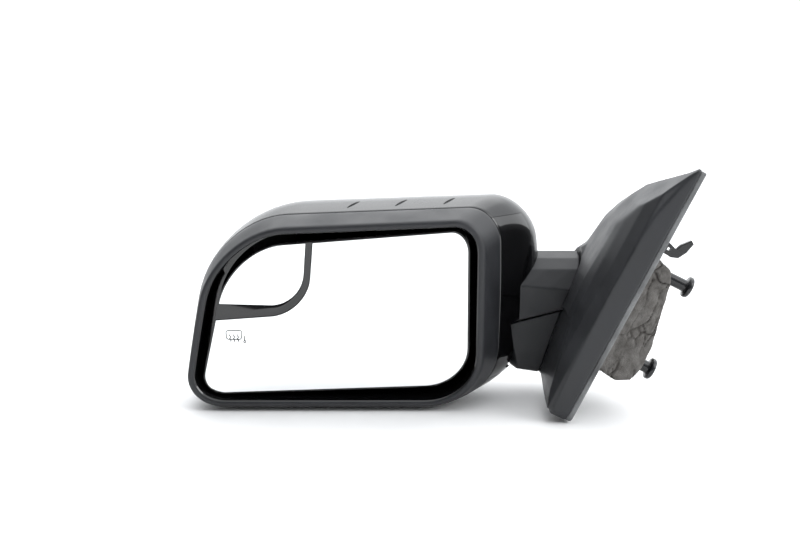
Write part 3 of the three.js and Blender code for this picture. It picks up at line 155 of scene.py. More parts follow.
camera = place_camera()
floor = lay_floor()
hang_lamp("right_softbox", (1.3, -0.7, 0.8), (0.0, 0.05, 0.0), (0.9, 0.9), 11)
hang_ceiling()
raise_tent()
bpy.context.scene.view_settings.view_transform = "Standard"
print("camera at", tuple(round(v, 4) for v in camera.location))

# %% [markdown]
# ## Finishes
# Nearly every part is a moulded plastic, and they differ in grain and gloss. Each finish is one node
# tree: a slow noise shifts the colour and the shine, as handling and the mould do, and a fine noise
# gives the grain as a bump. A photo texture would fix one scale and show a seam, so noise in three
# dimensions, measured in metres on the part, is the better choice.

# %% A finish from noise
def finish(name, colour, roughness, metallic=0.0, grain=1400, depth=0.04, mottle=0.25, spread=0.08,
           clearcoat=0.0, specular=0.5):
    made = bpy.data.materials.new(name)
    made.use_nodes = True
    tree = made.node_tree
    shader = tree.nodes["Principled BSDF"]
    shader.inputs["Metallic"].default_value = metallic
    shader.inputs["Coat Weight"].default_value = clearcoat
    shader.inputs["Coat Roughness"].default_value = 0.05
    shader.inputs["Specular IOR Level"].default_value = specular
    place = tree.nodes.new("ShaderNodeTexCoord")

    slow = tree.nodes.new("ShaderNodeTexNoise")
    slow.inputs["Scale"].default_value = 38
    slow.inputs["Detail"].default_value = 5
    tree.links.new(place.outputs["Object"], slow.inputs["Vector"])
    tint = tree.nodes.new("ShaderNodeValToRGB")
    dark = tuple(c * (1 - mottle) for c in colour)
    light = tuple(min(1, c * (1 + mottle)) for c in colour)
    tint.color_ramp.elements[0].position = 0.3
    tint.color_ramp.elements[0].color = (*dark, 1)
    tint.color_ramp.elements[1].position = 0.7
    tint.color_ramp.elements[1].color = (*light, 1)
    tree.links.new(slow.outputs["Fac"], tint.inputs["Fac"])
    tree.links.new(tint.outputs["Color"], shader.inputs["Base Color"])

    fine = tree.nodes.new("ShaderNodeTexNoise")
    fine.inputs["Scale"].default_value = grain
    fine.inputs["Detail"].default_value = 3
    fine.inputs["Roughness"].default_value = 0.6
    tree.links.new(place.outputs["Object"], fine.inputs["Vector"])
    shine = tree.nodes.new("ShaderNodeMapRange")
    shine.inputs["From Min"].default_value = 0.3
    shine.inputs["From Max"].default_value = 0.7
    shine.inputs["To Min"].default_value = max(0.02, roughness - spread)
    shine.inputs["To Max"].default_value = min(1.0, roughness + spread)
    tree.links.new(slow.outputs["Fac"], shine.inputs["Value"])
    tree.links.new(shine.outputs["Result"], shader.inputs["Roughness"])

    bump = tree.nodes.new("ShaderNodeBump")
    bump.inputs["Strength"].default_value = 0.8
    bump.inputs["Distance"].default_value = depth * MM
    tree.links.new(fine.outputs["Fac"], bump.inputs["Height"])
    tree.links.new(bump.outputs["Normal"], shader.inputs["Normal"])
    return made


FINISHES = {
    "grained_black": finish("grained_black", (0.017, 0.018, 0.021), 0.47, grain=1500, depth=0.07, mottle=0.2),
    "satin_black": finish("satin_black", (0.01, 0.0105, 0.012), 0.26, grain=2200, depth=0.01, mottle=0.1,
                          spread=0.02),
    "gloss_black": finish("gloss_black", (0.003, 0.003, 0.0035), 0.1, grain=500, depth=0.002, mottle=0.3,
                          spread=0.03, clearcoat=0.4),
    "inner_black": finish("inner_black", (0.006, 0.006, 0.007), 0.6, grain=900, depth=0.03, specular=0.2),
    "casting": finish("casting", (0.42, 0.43, 0.45), 0.48, metallic=1.0, grain=700, depth=0.12, mottle=0.12),
    "steel": finish("steel", (0.5, 0.5, 0.49), 0.32, metallic=1.0, grain=1800, depth=0.01, mottle=0.15),
    "mirror_glass": finish("mirror_glass", (0.93, 0.945, 0.95), 0.03, metallic=1.0, grain=60, depth=0.0004,
                           mottle=0.01, spread=0.015),
    "gasket_rubber": finish("gasket_rubber", (0.15, 0.154, 0.157), 0.85, grain=900, depth=0.6, mottle=0.5),
    "black_rubber": finish("black_rubber", (0.02, 0.02, 0.02), 0.7, grain=1200, depth=0.03),
    "nylon": finish("nylon", (0.68, 0.66, 0.58), 0.45, grain=600, depth=0.02, mottle=0.06),
    "heater_foil": finish("heater_foil", (0.5, 0.22, 0.06), 0.4, grain=400, depth=0.02, mottle=0.2),
    "brass": finish("brass", (0.72, 0.5, 0.2), 0.3, metallic=1.0, grain=1500, depth=0.01, mottle=0.15),
}
print("finishes:", ", ".join(FINISHES))

# %% [markdown]
# The floor is a plain painted board. It gets a very faint unevenness, so that shadows on it stay soft
# and don't band.

# %% Floor paint
floor.data.materials.append(finish("floor_paint", (0.93, 0.93, 0.93), 0.7, grain=40, depth=0.01,
                                   mottle=0.01, specular=0.2))
print("floor at z =", round(floor.location.z, 4))

# %% [markdown]
# The foam is open-celled: the cut skin is full of tiny pores and mottled with dust, and painted shade
# darkens its colour towards the bottom of each crack. A cell pattern gives the pores. How deep a point
# lies in a crack is stored on the mesh when the foam is shaped, and the finish only reads it.

# %% Foam finish
def foam_finish():
    made = bpy.data.materials.new("foam")
    made.use_nodes = True
    tree = made.node_tree
    shader = tree.nodes["Principled BSDF"]
    shader.inputs["Roughness"].default_value = 0.95
    shader.inputs["Specular IOR Level"].default_value = 0.2
    place = tree.nodes.new("ShaderNodeTexCoord")
    pores = tree.nodes.new("ShaderNodeTexVoronoi")
    pores.inputs["Scale"].default_value = 1300
    tree.links.new(place.outputs["Object"], pores.inputs["Vector"])
    dust = tree.nodes.new("ShaderNodeTexNoise")
    dust.inputs["Scale"].default_value = 130
    dust.inputs["Detail"].default_value = 8
    tree.links.new(place.outputs["Object"], dust.inputs["Vector"])
    tint = tree.nodes.new("ShaderNodeValToRGB")
    tint.color_ramp.elements[0].position = 0.32
    tint.color_ramp.elements[0].color = (0.1, 0.094, 0.088, 1)
    tint.color_ramp.elements[1].position = 0.68
    tint.color_ramp.elements[1].color = (0.175, 0.168, 0.16, 1)
    tree.links.new(dust.outputs["Fac"], tint.inputs["Fac"])
    # Painted shade: the crack depth mixes the colour towards near black, darkest at the bottom of each crack.
    crack = tree.nodes.new("ShaderNodeAttribute")
    crack.attribute_name = "crack"
    depth = tree.nodes.new("ShaderNodeMix")
    depth.data_type = "RGBA"
    depth.inputs["B"].default_value = (0.018, 0.015, 0.013, 1)
    tree.links.new(crack.outputs["Fac"], depth.inputs["Factor"])
    tree.links.new(tint.outputs["Color"], depth.inputs["A"])
    tree.links.new(depth.outputs["Result"], shader.inputs["Base Color"])
    bump = tree.nodes.new("ShaderNodeBump")
    bump.inputs["Strength"].default_value = 1.0
    bump.inputs["Distance"].default_value = 0.3 * MM
    tree.links.new(pores.outputs["Distance"], bump.inputs["Height"])
    tree.links.new(bump.outputs["Normal"], shader.inputs["Normal"])
    return made


FINISHES["foam"] = foam_finish()
print("foam finish ready")

# %% [markdown]
# ## Tools for moulded shells
# A moulded shell has a smooth outside and a wall of even thickness behind it. It could be modelled as a
# plane with a thickness modifier, but the rim, the fillets and the deep recess need exact control. So
# each shell is a row of closed outlines, one behind the other, joined by quads. The outline is a polygon
# whose corners are rounded, and how far it stands out changes smoothly with depth.

# %% Smooth values and rounded outlines
def through(pairs, place):
    """Smooth curve through [place, value] pairs."""
    last = len(pairs) - 1
    i = 0
    while i < last - 1 and place > pairs[i + 1][0]:
        i += 1
    (x0, y0), (x1, y1) = pairs[i], pairs[i + 1]

    def slope(a, b):
        return (pairs[b][1] - pairs[a][1]) / (pairs[b][0] - pairs[a][0])

    m0 = slope(i - 1, i + 1) if i > 0 else slope(0, 1)
    m1 = slope(i, i + 2) if i + 1 < last else slope(last - 1, last)
    h = x1 - x0
    t = min(1, max(0, (place - x0) / h))
    return ((2 * t**3 - 3 * t**2 + 1) * y0 + (t**3 - 2 * t**2 + t) * h * m0
            + (3 * t**2 - 2 * t**3) * y1 + (t**3 - t**2) * h * m1)


def rounded(corners, inset=0.0, corner_steps=14, edge_steps=8):
    """Polygon with rounded corners; a corner is (point, reach before it, reach after it)."""
    count = len(corners)
    points = np.array([c[0] for c in corners], float)
    ahead = np.roll(points, -1, axis=0)
    side = np.sign(np.sum(points[:, 0] * ahead[:, 1] - ahead[:, 0] * points[:, 1]))
    run = ahead - points
    run /= np.linalg.norm(run, axis=1)[:, None]
    start = points + inset * side * np.stack([-run[:, 1], run[:, 0]], axis=1)
    tips = []
    for i in range(count):
        one, two, gap = run[i - 1], run[i], start[i] - start[i - 1]
        along = (gap[0] * two[1] - gap[1] * two[0]) / (one[0] * two[1] - one[1] * two[0])
        tips.append(start[i - 1] + one * along)
    tips = np.array(tips)
    lengths = np.linalg.norm(np.roll(tips, -1, axis=0) - tips, axis=1)
    begins, ends = [], []
    for i, (_, before, after) in enumerate(corners):
        before = min(max(before - inset, 1), lengths[i - 1] * 0.46)
        after = min(max(after - inset, 1), lengths[i] * 0.46)
        begins.append(tips[i] - run[i - 1] * before)
        ends.append(tips[i] + run[i] * after)
    outline = []
    for i in range(count):
        a, b = begins[i], ends[i]
        p, q = a + (tips[i] - a) * 0.5523, b + (tips[i] - b) * 0.5523
        for t in np.linspace(0, 1, corner_steps + 1):
            s = 1 - t
            outline.append(s**3 * a + 3 * s * s * t * p + 3 * s * t * t * q + t**3 * b)
        for t in np.arange(1, edge_steps) / edge_steps:
            outline.append(b + (begins[(i + 1) % count] - b) * t)
    return np.array(outline)


test = rounded([((-1, -1), 1, 1), ((1, -1), 1, 1), ((1, 1), 1, 1), ((-1, 1), 1, 1)])
print("points in an outline:", len(test))

# %% Outlines joined into a skin
def object_from(name, points, faces, body, finishes, replaces=(), sharp=32, indices=None):
    """A mesh object in millimetres that rides on a body."""
    mesh = bpy.data.meshes.new(name)
    mesh.from_pydata([tuple(p) for p in np.asarray(points) * MM], [], faces)
    bm = bmesh.new()
    bm.from_mesh(mesh)
    bmesh.ops.recalc_face_normals(bm, faces=bm.faces)
    bm.to_mesh(mesh)
    bm.free()
    for one in finishes:
        mesh.materials.append(FINISHES[one])
    for i, polygon in enumerate(mesh.polygons):
        polygon.use_smooth = True
        if indices is not None:
            polygon.material_index = indices[i]
    mesh.set_sharp_from_angle(angle=math.radians(sharp))
    made = bpy.data.objects.new(name, mesh)
    bpy.context.collection.objects.link(made)
    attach(made, body)
    if replaces:
        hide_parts(*replaces)
    return made


def skin(loops, ring=False, marks=None):
    """Points and faces through loops of equal length; ring joins the last loop to the first."""
    count = len(loops[0])
    points = np.concatenate(loops)
    faces, indices = [], []
    rows = len(loops) if ring else len(loops) - 1
    for r in range(rows):
        a0, b0 = r * count, ((r + 1) % len(loops)) * count
        for i in range(count):
            j = (i + 1) % count
            faces.append((a0 + i, a0 + j, b0 + j, b0 + i))
            indices.append(marks[r] if marks else 0)
    if not ring:
        faces.append(tuple(range(count)))
        faces.append(tuple(range((len(loops) - 1) * count, len(loops) * count)))
        indices += [marks[0] if marks else 0, marks[-1] if marks else 0]
    return points, faces, indices


print("skin tools ready")

# %% [markdown]
# Some parts, such as the arm, are cut by the path of the fold joint, and their form comes straight from
# that cut. Redrawing them would only invite misfits. Their engineering solid is copied, resampled into
# small even cells and relaxed a little, which rounds every edge by about the radius that a mould has.

# %% Soften a cut solid
def softened(name, node, body, finish_name, cell=0.8, passes=8):
    source = frame["nodes"][node]
    work = bpy.data.objects.new(name + "_work", source.data.copy())
    bpy.context.collection.objects.link(work)
    cells = work.modifiers.new("cells", "REMESH")
    cells.mode = "VOXEL"
    cells.voxel_size = cell * MM
    relax = work.modifiers.new("relax", "SMOOTH")
    relax.factor = 0.5
    relax.iterations = passes
    graph = bpy.context.evaluated_depsgraph_get()
    mesh = bpy.data.meshes.new_from_object(work.evaluated_get(graph))
    bpy.data.objects.remove(work)
    mesh.name = name
    mesh.materials.clear()
    mesh.materials.append(FINISHES[finish_name])
    mesh.shade_smooth()
    made = bpy.data.objects.new(name, mesh)
    bpy.context.collection.objects.link(made)
    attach(made, body)
    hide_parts(node)
    print(name, "faces", len(mesh.polygons))
    return made


# %% [markdown]
# ## The head
# The head is a deep bowl in two mouldings that meet at a seam: a grained bezel round the glass and a
# smooth cap over the front. Both follow one family of outlines, so the seam closes evenly all round.

# %% Outline of the head
RIM_WIDTH, RIM_HEIGHT, HEAD_DEPTH, SEAM, WALL, BAND = 255.2, 161.5, 118, 22, 2.6, 5.6
RIM_INBOARD = -120
HEAD = np.array([RIM_INBOARD - RIM_WIDTH / 2, 26, -19.7])
GROWTH = {
    "top": [[0, 0], [SEAM, 8], [52, 14.5], [80, 9], [100, -8], [112, -28], [HEAD_DEPTH, -44]],
    "bottom": [[0, 0], [SEAM, 1.8], [52, -1.5], [80, -14], [100, -30], [112, -44], [HEAD_DEPTH, -56]],
    "outboard": [[0, 0], [SEAM, 2.5], [52, 2.5], [80, -10], [100, -34], [112, -58], [HEAD_DEPTH, -78]],
    "inboard": [[0, 0], [SEAM, 14.3], [52, 38], [80, 42], [100, 22], [112, -6], [HEAD_DEPTH, -30]],
    "bulge": [[0, 0.5], [SEAM, 2], [52, 11], [80, 9], [100, 5], [112, 2], [HEAD_DEPTH, 0]],
    "rounding": [[0, 1], [SEAM, 1.05], [52, 1.25], [80, 1.3], [100, 1.3], [112, 1.2], [HEAD_DEPTH, 1.1]],
}


def head_outline(depth, inset=0.0):
    grow = {side: through(pairs, depth) for side, pairs in GROWTH.items()}
    left = -RIM_WIDTH / 2 - grow["outboard"]
    right = RIM_WIDTH / 2 - 2.8 + grow["inboard"]
    top = RIM_HEIGHT / 2 + grow["top"]
    bottom = -RIM_HEIGHT / 2 - grow["bottom"]
    k = grow["rounding"]
    outline = rounded([
        ((left, bottom), 30 * k, 34 * k), ((right, bottom), 48 * k, 44 * k),
        ((right + 1, top), 30 * k, 26 * k), ((left + 28.5, top - 9.5), 60 * k, 64 * k),
    ], inset)
    u = (outline[:, 0] - (right + left) / 2) / ((right - left) / 2)
    v = (outline[:, 1] - (top + bottom) / 2) / ((top - bottom) / 2)
    push = np.where(u > 0, grow["bulge"] * u**3, 3 * u**3)
    outline[:, 0] += push * np.maximum(0, 1 - v * v)
    return outline


def head_loop(depth, inset=0.0, shape_depth=None):
    outline = head_outline(depth if shape_depth is None else shape_depth, inset)
    return np.stack([outline[:, 0], np.full(len(outline), depth), outline[:, 1]], axis=1) + HEAD


print("rim from", head_loop(0).min(axis=0).round(1), "to", head_loop(0).max(axis=0).round(1))

# %% [markdown]
# ### Rear bezel
# The bezel starts at the seam, runs back to a flat rim band with small fillets on both sides, and then
# turns in as a high gloss wall down past the glass, where a ledge hides the drive. It is one closed ring
# of loops, so it has no open edge anywhere. The recess wall gets its own finish, because the tool is
# polished there and grained outside.

# %% Bezel
def make_bezel():
    rows = [(22, 1.0, None, 0), (21.8, 0.5, None, 0), (21.4, 0.15, None, 0)]
    rows += [(d, 0.0, None, 0) for d in (20.8, 19, 17, 14, 11, 8.5, 6, 4, 2.6)]
    rows += [(1.6, 0.12, None, 0), (0.8, 0.5, None, 0), (0.25, 1.1, None, 0), (0.0, 1.9, None, 0)]
    rows += [(0.0, 3.3, None, 0), (0.2, 4.2, 0, 0), (0.75, 4.8, 0, 1), (1.6, BAND, 0, 1)]
    rows += [(d, BAND, 0, 1) for d in (4, 8, 13, 18, 24, 30, 36, 41)]
    rows += [(42.7, BAND + 0.1, 0, 1), (43, BAND + 0.6, 0, 1), (43, BAND + 5.8, 0, 1), (43.3, BAND + 6.1, 0, 1)]
    rows += [(44.1, BAND + 6.1, 0, 1), (44.3, BAND + 5.8, 0, 1), (44.3, 3.2, 0, 0), (43.9, 2.8, 0, 0)]
    rows += [(d, 2.8, 0, 0) for d in (24, 14, 4.2)]
    rows += [(d, WALL, None, 0) for d in (4.2, 8, 12, 17, 21.8)]
    rows += [(22, WALL - 0.2, None, 0)]
    loops = [head_loop(d, inset, at) for d, inset, at, _ in rows]
    points, faces, indices = skin(loops, ring=True, marks=[row[3] for row in rows])
    return object_from("bezel_moulding", points, faces, "head", ["grained_black", "gloss_black"],
                       ["rear_bezel"], indices=indices)


bezel = make_bezel()
print("bezel faces", len(bezel.data.polygons))

# %% [markdown]
# ### Cutting one shape with another
# The arm enters the cap through an opening, and the inboard panel is let into it. Both are cuts, and a
# boolean on closed meshes makes them exactly. The cutting shapes are made first and thrown away after.

# %% Cutters
def cutter(points, faces):
    mesh = bpy.data.meshes.new("cutter")
    mesh.from_pydata([tuple(p) for p in np.asarray(points) * MM], [], faces)
    bm = bmesh.new()
    bm.from_mesh(mesh)
    bmesh.ops.recalc_face_normals(bm, faces=bm.faces)
    bm.to_mesh(mesh)
    bm.free()
    made = bpy.data.objects.new("cutter", mesh)
    bpy.context.collection.objects.link(made)
    return made


def block(low, high):
    (x0, y0, z0), (x1, y1, z1) = low, high
    corners = [(x, y, z) for x in (x0, x1) for y in (y0, y1) for z in (z0, z1)]
    faces = [(0, 1, 3, 2), (4, 6, 7, 5), (0, 4, 5, 1), (2, 3, 7, 6), (0, 2, 6, 4), (1, 5, 7, 3)]
    return np.array(corners, float), faces


def slab(outline, low, high):
    """The outline in X and Z, pushed along Y from low to high."""
    loops = [np.stack([outline[:, 0], np.full(len(outline), y), outline[:, 1]], axis=1) for y in (low, high)]
    points, faces, _ = skin(loops)
    return points, faces


def cut(piece, steps, sharp=32):
    """Cuts or joins other objects with a piece; steps are (operation, object)."""
    for operation, other in steps:
        change = piece.modifiers.new("cut", "BOOLEAN")
        change.solver = "EXACT"
        change.operation = operation
        change.object = other
    graph = bpy.context.evaluated_depsgraph_get()
    mesh = bpy.data.meshes.new_from_object(piece.evaluated_get(graph))
    piece.modifiers.clear()
    piece.data = mesh
    mesh.name = piece.name
    for polygon in mesh.polygons:
        polygon.use_smooth = True
    mesh.set_sharp_from_angle(angle=math.radians(sharp))
    for _, other in steps:
        bpy.data.objects.remove(other)
    return piece


def arm_section(x, inset=0.0):
    along = x + 106
    rear, front = 64 + inset, 114 - inset
    edge = 22 - 23.5 - 0.088 * along - inset * 0.6
    bottom, top = -76 - 0.151 * along + inset, 22 - inset
    return np.array([(x, y, z) for y, z in [
        (rear, bottom + 2), (rear, edge), (rear + 10, 22 - 12.5 - inset), (rear + 20, top - 4.5),
        (rear + 32, top), (front - 9, top - 3), (front - 2, top - 12), (front, top - 30),
        (front, bottom + 14), (front - 12, bottom + 2), (rear + 20, bottom), (rear + 3, bottom)]])


PIVOT, TILT = Vector((-60.1, 88, -27)), math.radians(14.3)
FOLD = Matrix.Translation(PIVOT) @ Matrix.Rotation(-TILT, 4, "Y")


def arm_cutters():
    arm = skin([arm_section(x, -0.4) for x in np.linspace(-166, -20, 5)])[:2]
    circle = [(48 * math.cos(a), 48 * math.sin(a)) for a in np.linspace(0, 2 * math.pi, 97)[:-1]]
    drum = [np.array([FOLD @ Vector((x, y, z)) for x, y in circle]) for z in (-110, 1.2)]
    return [("DIFFERENCE", cutter(*arm)), ("DIFFERENCE", cutter(*skin(drum)[:2]))]


print("fold axis leans", round(math.degrees(TILT), 1), "degrees")

# %% [markdown]
# ### Front cap and inboard panel
# The cap is a closed skin: outside from the crown to the seam, round the edge, and back inside to the
# crown. Three short drain slots lie aslant on its top. The inboard panel is cut from the same skin, a
# third of a millimetre smaller than the gap it fills, and is polished black.

# %% Cap
def cap_skin():
    outer = [118, 117, 115.5, 114, 112, 110, 108, 105, 102, 98, 94, 90, 86, 82, 77, 72, 67, 62, 57, 52, 47, 42,
             38, 34, 30, 27, 25, 23.9]
    inner = [24, 28, 34, 40, 46, 52, 58, 64, 72, 80, 88, 94, 100, 105, 109, 112, 114, 115.4]
    crown = [0.12, 0.35, 0.58, 0.78, 0.92]

    def top(depth, inset, lift):
        edge = head_loop(depth, inset)
        middle = edge.mean(axis=0)
        loops = []
        for k in crown:
            loop = middle + (edge - middle) * k
            loop[:, 1] += lift * (1 - k * k)
            loops.append(loop)
        return loops

    loops = top(118, 0, 1.4) + [head_loop(d) for d in outer]
    loops += [head_loop(23.2, 0.15), head_loop(22.7, 0.5), head_loop(22.4, 1.1), head_loop(22.4, WALL)]
    loops += [head_loop(d, WALL) for d in inner] + top(115.4, WALL, 1.2)[::-1]
    return skin(loops)


def slot_cutters(points, faces):
    """Three aslant slots, laid on the top of the skin."""
    tree = BVHTree.FromPolygons([Vector(p) for p in points], faces)
    made = []
    for x in (-231.5, -190.8, -150.0):
        across, along = Vector((11, 15, 0)).normalized(), []
        for t in np.linspace(-1, 1, 13):
            spot = Vector((x, 63, 0)) + across * (8.5 * t)
            hit = tree.ray_cast(Vector((spot.x, spot.y, 200)), Vector((0, 0, -1)))[0]
            along.append((hit, 1.45 * math.sqrt(max(0.02, 1 - t * t)) + 0.1))
        side = Vector((across.y, -across.x, 0))
        loops = [np.array([at + side * (width * math.cos(a)) + Vector((0, 0, 1.2 * width * math.sin(a)))
                           for a in np.linspace(0, 2 * math.pi, 13)[:-1]]) for at, width in along]
        made.append(("DIFFERENCE", cutter(*skin(loops)[:2])))
    return made


def panel_space(shrink):
    low = (HEAD[0] + RIM_WIDTH / 2 - 8 + shrink, HEAD[1], HEAD[2] - RIM_HEIGHT / 2 + 18 + shrink)
    high = (HEAD[0] + 278, HEAD[1] + 50 - shrink, HEAD[2] + RIM_HEIGHT / 2 - 1.75 - shrink)
    return cutter(*block(low, high))


points, faces, _ = cap_skin()
cap = object_from("cap_moulding", points, faces, "head", ["satin_black"], ["front_cap"])
cut(cap, arm_cutters() + [("DIFFERENCE", panel_space(0))] + slot_cutters(points, faces))
panel = object_from("panel_moulding", points, faces, "head", ["gloss_black"], ["inboard_panel"])
cut(panel, arm_cutters() + [("INTERSECT", panel_space(0.3))])
print("cap faces", len(cap.data.polygons), "panel faces", len(panel.data.polygons))

# %% [markdown]
# ## The glass
# The main glass and the small wide-angle glass sit side by side in one carrier, with a black web
# between them. A mirror of this kind is float glass, silvered behind, with ground edges. Both panes are
# cut from one rounded plate, so their outer edges line up, and a fine bevel stands for the ground edge.

# %% Glass outlines
GLASS_LEFT, GLASS_RIGHT = -RIM_WIDTH / 2 + 12.5, RIM_WIDTH / 2 - 13
GLASS_FOOT, GLASS_TOP = -72.35, 68.95
GLASS = [
    ((GLASS_LEFT, GLASS_FOOT), 20, 21), ((GLASS_RIGHT - 1, GLASS_FOOT + 8), 36, 32),
    ((GLASS_RIGHT - 1.5, GLASS_TOP), 19, 15), ((GLASS_LEFT + 28.5, GLASS_TOP - 15.5), 44, 48),
]
SPOT_LEAN = 0.075                # lean of the upright edges of the wide-angle corner


def pane_outline(inset=0.0):
    return rounded(GLASS, inset, 20, 10) + HEAD[[0, 2]]


def corner_space(right, foot, fall, reach):
    """Everything above and outboard of the corner; fall slopes its lower edge."""
    corner = right - 3.5
    return rounded([
        ((-300, foot + fall * (300 + right)), 1, 1), ((corner, foot), reach, reach),
        ((corner + SPOT_LEAN * (200 - foot), 200), 1, 1), ((-300, 200), 1, 1),
    ], 0, 20, 2) + HEAD[[0, 2]]


def depth_slab(outline, low, high):
    return cutter(*slab(outline, HEAD[1] + low, HEAD[1] + high))


def grind(piece, width, segments=2):
    """A fine bevel on every sharp edge."""
    arris = piece.modifiers.new("arris", "BEVEL")
    arris.width = width * MM
    arris.segments = segments
    arris.limit_method = "ANGLE"
    arris.angle_limit = math.radians(40)
    graph = bpy.context.evaluated_depsgraph_get()
    mesh = bpy.data.meshes.new_from_object(piece.evaluated_get(graph))
    piece.modifiers.clear()
    piece.data = mesh
    mesh.name = piece.name
    return piece


def pane(name, node, operation, space):
    points, faces = slab(pane_outline(), HEAD[1] + 12.5, HEAD[1] + 14.5)
    made = object_from(name, points, faces, "glass", ["mirror_glass"], [node])
    cut(made, [(operation, depth_slab(space, 0, 40))])
    return grind(made, 0.25)


main_pane = pane("main_pane", "main_glass", "DIFFERENCE", corner_space(-18.6, -2.2, -0.07, 32))
spot_pane = pane("wide_angle_pane", "spotter_glass", "INTERSECT", corner_space(-24, 4.7, 0.027, 27))
print("glass width", round(main_pane.dimensions.x * 1000, 1), "mm")

# %% [markdown]
# The carrier is a thin tray: a lip round both panes, the web between them, and ears at the back that
# hang on the tilt pins. It is polished plastic with a slightly rounded lip, which catches a thin line of
# light all round the glass.

# %% Carrier
def make_carrier():
    points, faces = slab(pane_outline(-1.5), HEAD[1] + 12.9, HEAD[1] + 17.6)
    tray = object_from("glass_tray", points, faces, "glass", ["gloss_black"], ["glass_carrier"])
    web = depth_slab(corner_space(-18.9, -1.9, -0.07, 32), -2, 40)
    cut(web, [("DIFFERENCE", depth_slab(corner_space(-23.7, 4.4, 0.027, 27), -5, 45))])
    pocket = depth_slab(pane_outline(-0.3), 0, 14.55)
    cut(pocket, [("DIFFERENCE", web)])
    cut(tray, [("DIFFERENCE", pocket)])
    grind(tray, 0.35)
    ears = []
    for side in (-1, 1):
        x = HEAD[0] - 1 + side * 14.5
        z = HEAD[2] - 2
        ears.append(("UNION", cutter(*block((x - 2, HEAD[1] + 16.6, z - 4.5), (x + 2, HEAD[1] + 28, z + 4.5)))))
    return cut(tray, ears)


tray = make_carrier()
print("tray faces", len(tray.data.polygons))

# %% [markdown]
# The heater mark is the usual sign for a heated pane: a window with three rising waves, and a small
# drop beside it. On the real pane it is scratched out of the silver. Here it is a thin grey ribbon laid
# on the face, 0.05 mm thick.

# %% Heater mark
def ribbon(lines, width, front):
    """Flat strips along lines of (x, z) points, with one closed skin each."""
    points, faces = [], []
    for line in lines:
        line = np.array(line, float)
        run = np.gradient(line, axis=0)
        run /= np.linalg.norm(run, axis=1)[:, None]
        side = np.stack([-run[:, 1], run[:, 0]], axis=1) * width / 2
        start, n = len(points), len(line)
        for offset, y in ((side, front), (-side, front), (-side, front - 0.05), (side, front - 0.05)):
            points += [(p[0], y, p[1]) for p in line + offset]
        for a, b in ((0, 1), (1, 2), (2, 3), (3, 0)):
            for i in range(n - 1):
                faces.append((start + a * n + i, start + a * n + i + 1, start + b * n + i + 1, start + b * n + i))
        faces += [tuple(start + k * n for k in range(4)), tuple(start + k * n + n - 1 for k in (3, 2, 1, 0))]
    return points, faces


def heater_mark():
    middle = (-341 + 8, -40.5)
    frame_line = rounded([((-6.4, -3.6), 2, 2), ((6.4, -3.6), 2, 2), ((6.8, 4.2), 2, 2), ((-6.8, 4.2), 2, 2)], 0, 6, 4)
    frame_line = np.concatenate([frame_line, frame_line[:1]])
    lines = [frame_line]
    for x in (-3.2, 0, 3.2):
        z = np.linspace(-5.6, 0.6, 15)
        lines.append(np.stack([x + 0.7 * np.sin((z + 5.6) * 2.0), z], axis=1))
    drop = [(9.0 + 0.9 * math.cos(a), -5.6 + 0.9 * math.sin(a)) for a in np.linspace(0, 2 * math.pi, 15)]
    lines += [drop, [(9.0, -4.6), (9.0, -2.5), (8.9, -0.6)]]
    return [np.array(line) + middle for line in lines]


points, faces = ribbon(heater_mark(), 0.75, HEAD[1] + 12.49)
mark = object_from("heater_mark", points, faces, "glass", ["inner_black"])
print("heater mark faces", len(mark.data.polygons))

# %% [markdown]
# ## The arm and the sail
# The swivelling block, the fixed foot and the sail are three mouldings in the same grained plastic.
# They are softened copies of the engineering solids, because the joint lines between them follow the
# cone of the fold joint.

# %% Arm and sail mouldings
LEAN = math.radians(26.3)
FLANGE = Matrix.Rotation(LEAN, 4, "Y")
TO_FLANGE = FLANGE.inverted()
JOINT_TOP, JOINT_FOOT = (-52.6, -28.2), (-69.2, -78.8)      # joint line between foot and sail, in X and Z


def ramp(value, start, end):
    return np.clip((value - start) / (end - start), 0, 1)


def placed(points, matrix):
    """Points in millimetres seen from another frame."""
    turn = np.array(matrix.to_3x3())
    return points @ turn.T + np.array(matrix.translation)


def blend_neck(piece, rounds):
    """Evens out the neck of the sail, and leaves its rim and its joint lines as they are."""
    mesh = piece.data
    flat = np.empty(len(mesh.vertices) * 3, np.float32)
    mesh.vertices.foreach_get("co", flat)
    points = flat.reshape(-1, 3).astype(float) / MM
    ends = np.empty(len(mesh.edges) * 2, np.int32)
    mesh.edges.foreach_get("vertices", ends)
    one, two = ends.reshape(-1, 2).T
    count = len(points)
    near = np.bincount(one, minlength=count) + np.bincount(two, minlength=count)
    outboard = ramp(-placed(points, TO_FLANGE)[:, 0], 30, 42)
    from_axis = np.linalg.norm(placed(points, FOLD.inverted())[:, :2], axis=1)
    slope = (JOINT_TOP[0] - JOINT_FOOT[0]) / (JOINT_TOP[1] - JOINT_FOOT[1])
    from_joint = points[:, 0] - JOINT_FOOT[0] - (points[:, 2] - JOINT_FOOT[1]) * slope
    weight = (outboard * ramp(from_axis, 46, 58) * ramp(from_joint, 3, 12))[:, None]
    for _ in range(rounds):
        total = np.stack([np.bincount(one, points[two, k], count) + np.bincount(two, points[one, k], count)
                          for k in range(3)], axis=1)
        points += weight * 0.6 * (total / near[:, None] - points)
    mesh.vertices.foreach_set("co", (points * MM).astype(np.float32).ravel())
    mesh.update()


block_moulding = softened("block_moulding", "arm_block_cover", "head", "grained_black", passes=5)
foot_moulding = softened("foot_moulding", "arm_lower_cover", "base", "grained_black", passes=5)
sail_moulding = softened("sail_moulding", "sail_cover", "base", "grained_black", cell=0.95, passes=4)
blend_neck(sail_moulding, 50)
gasket = softened("gasket_strip", "sail_gasket", "base", "gasket_rubber", cell=0.7, passes=2)

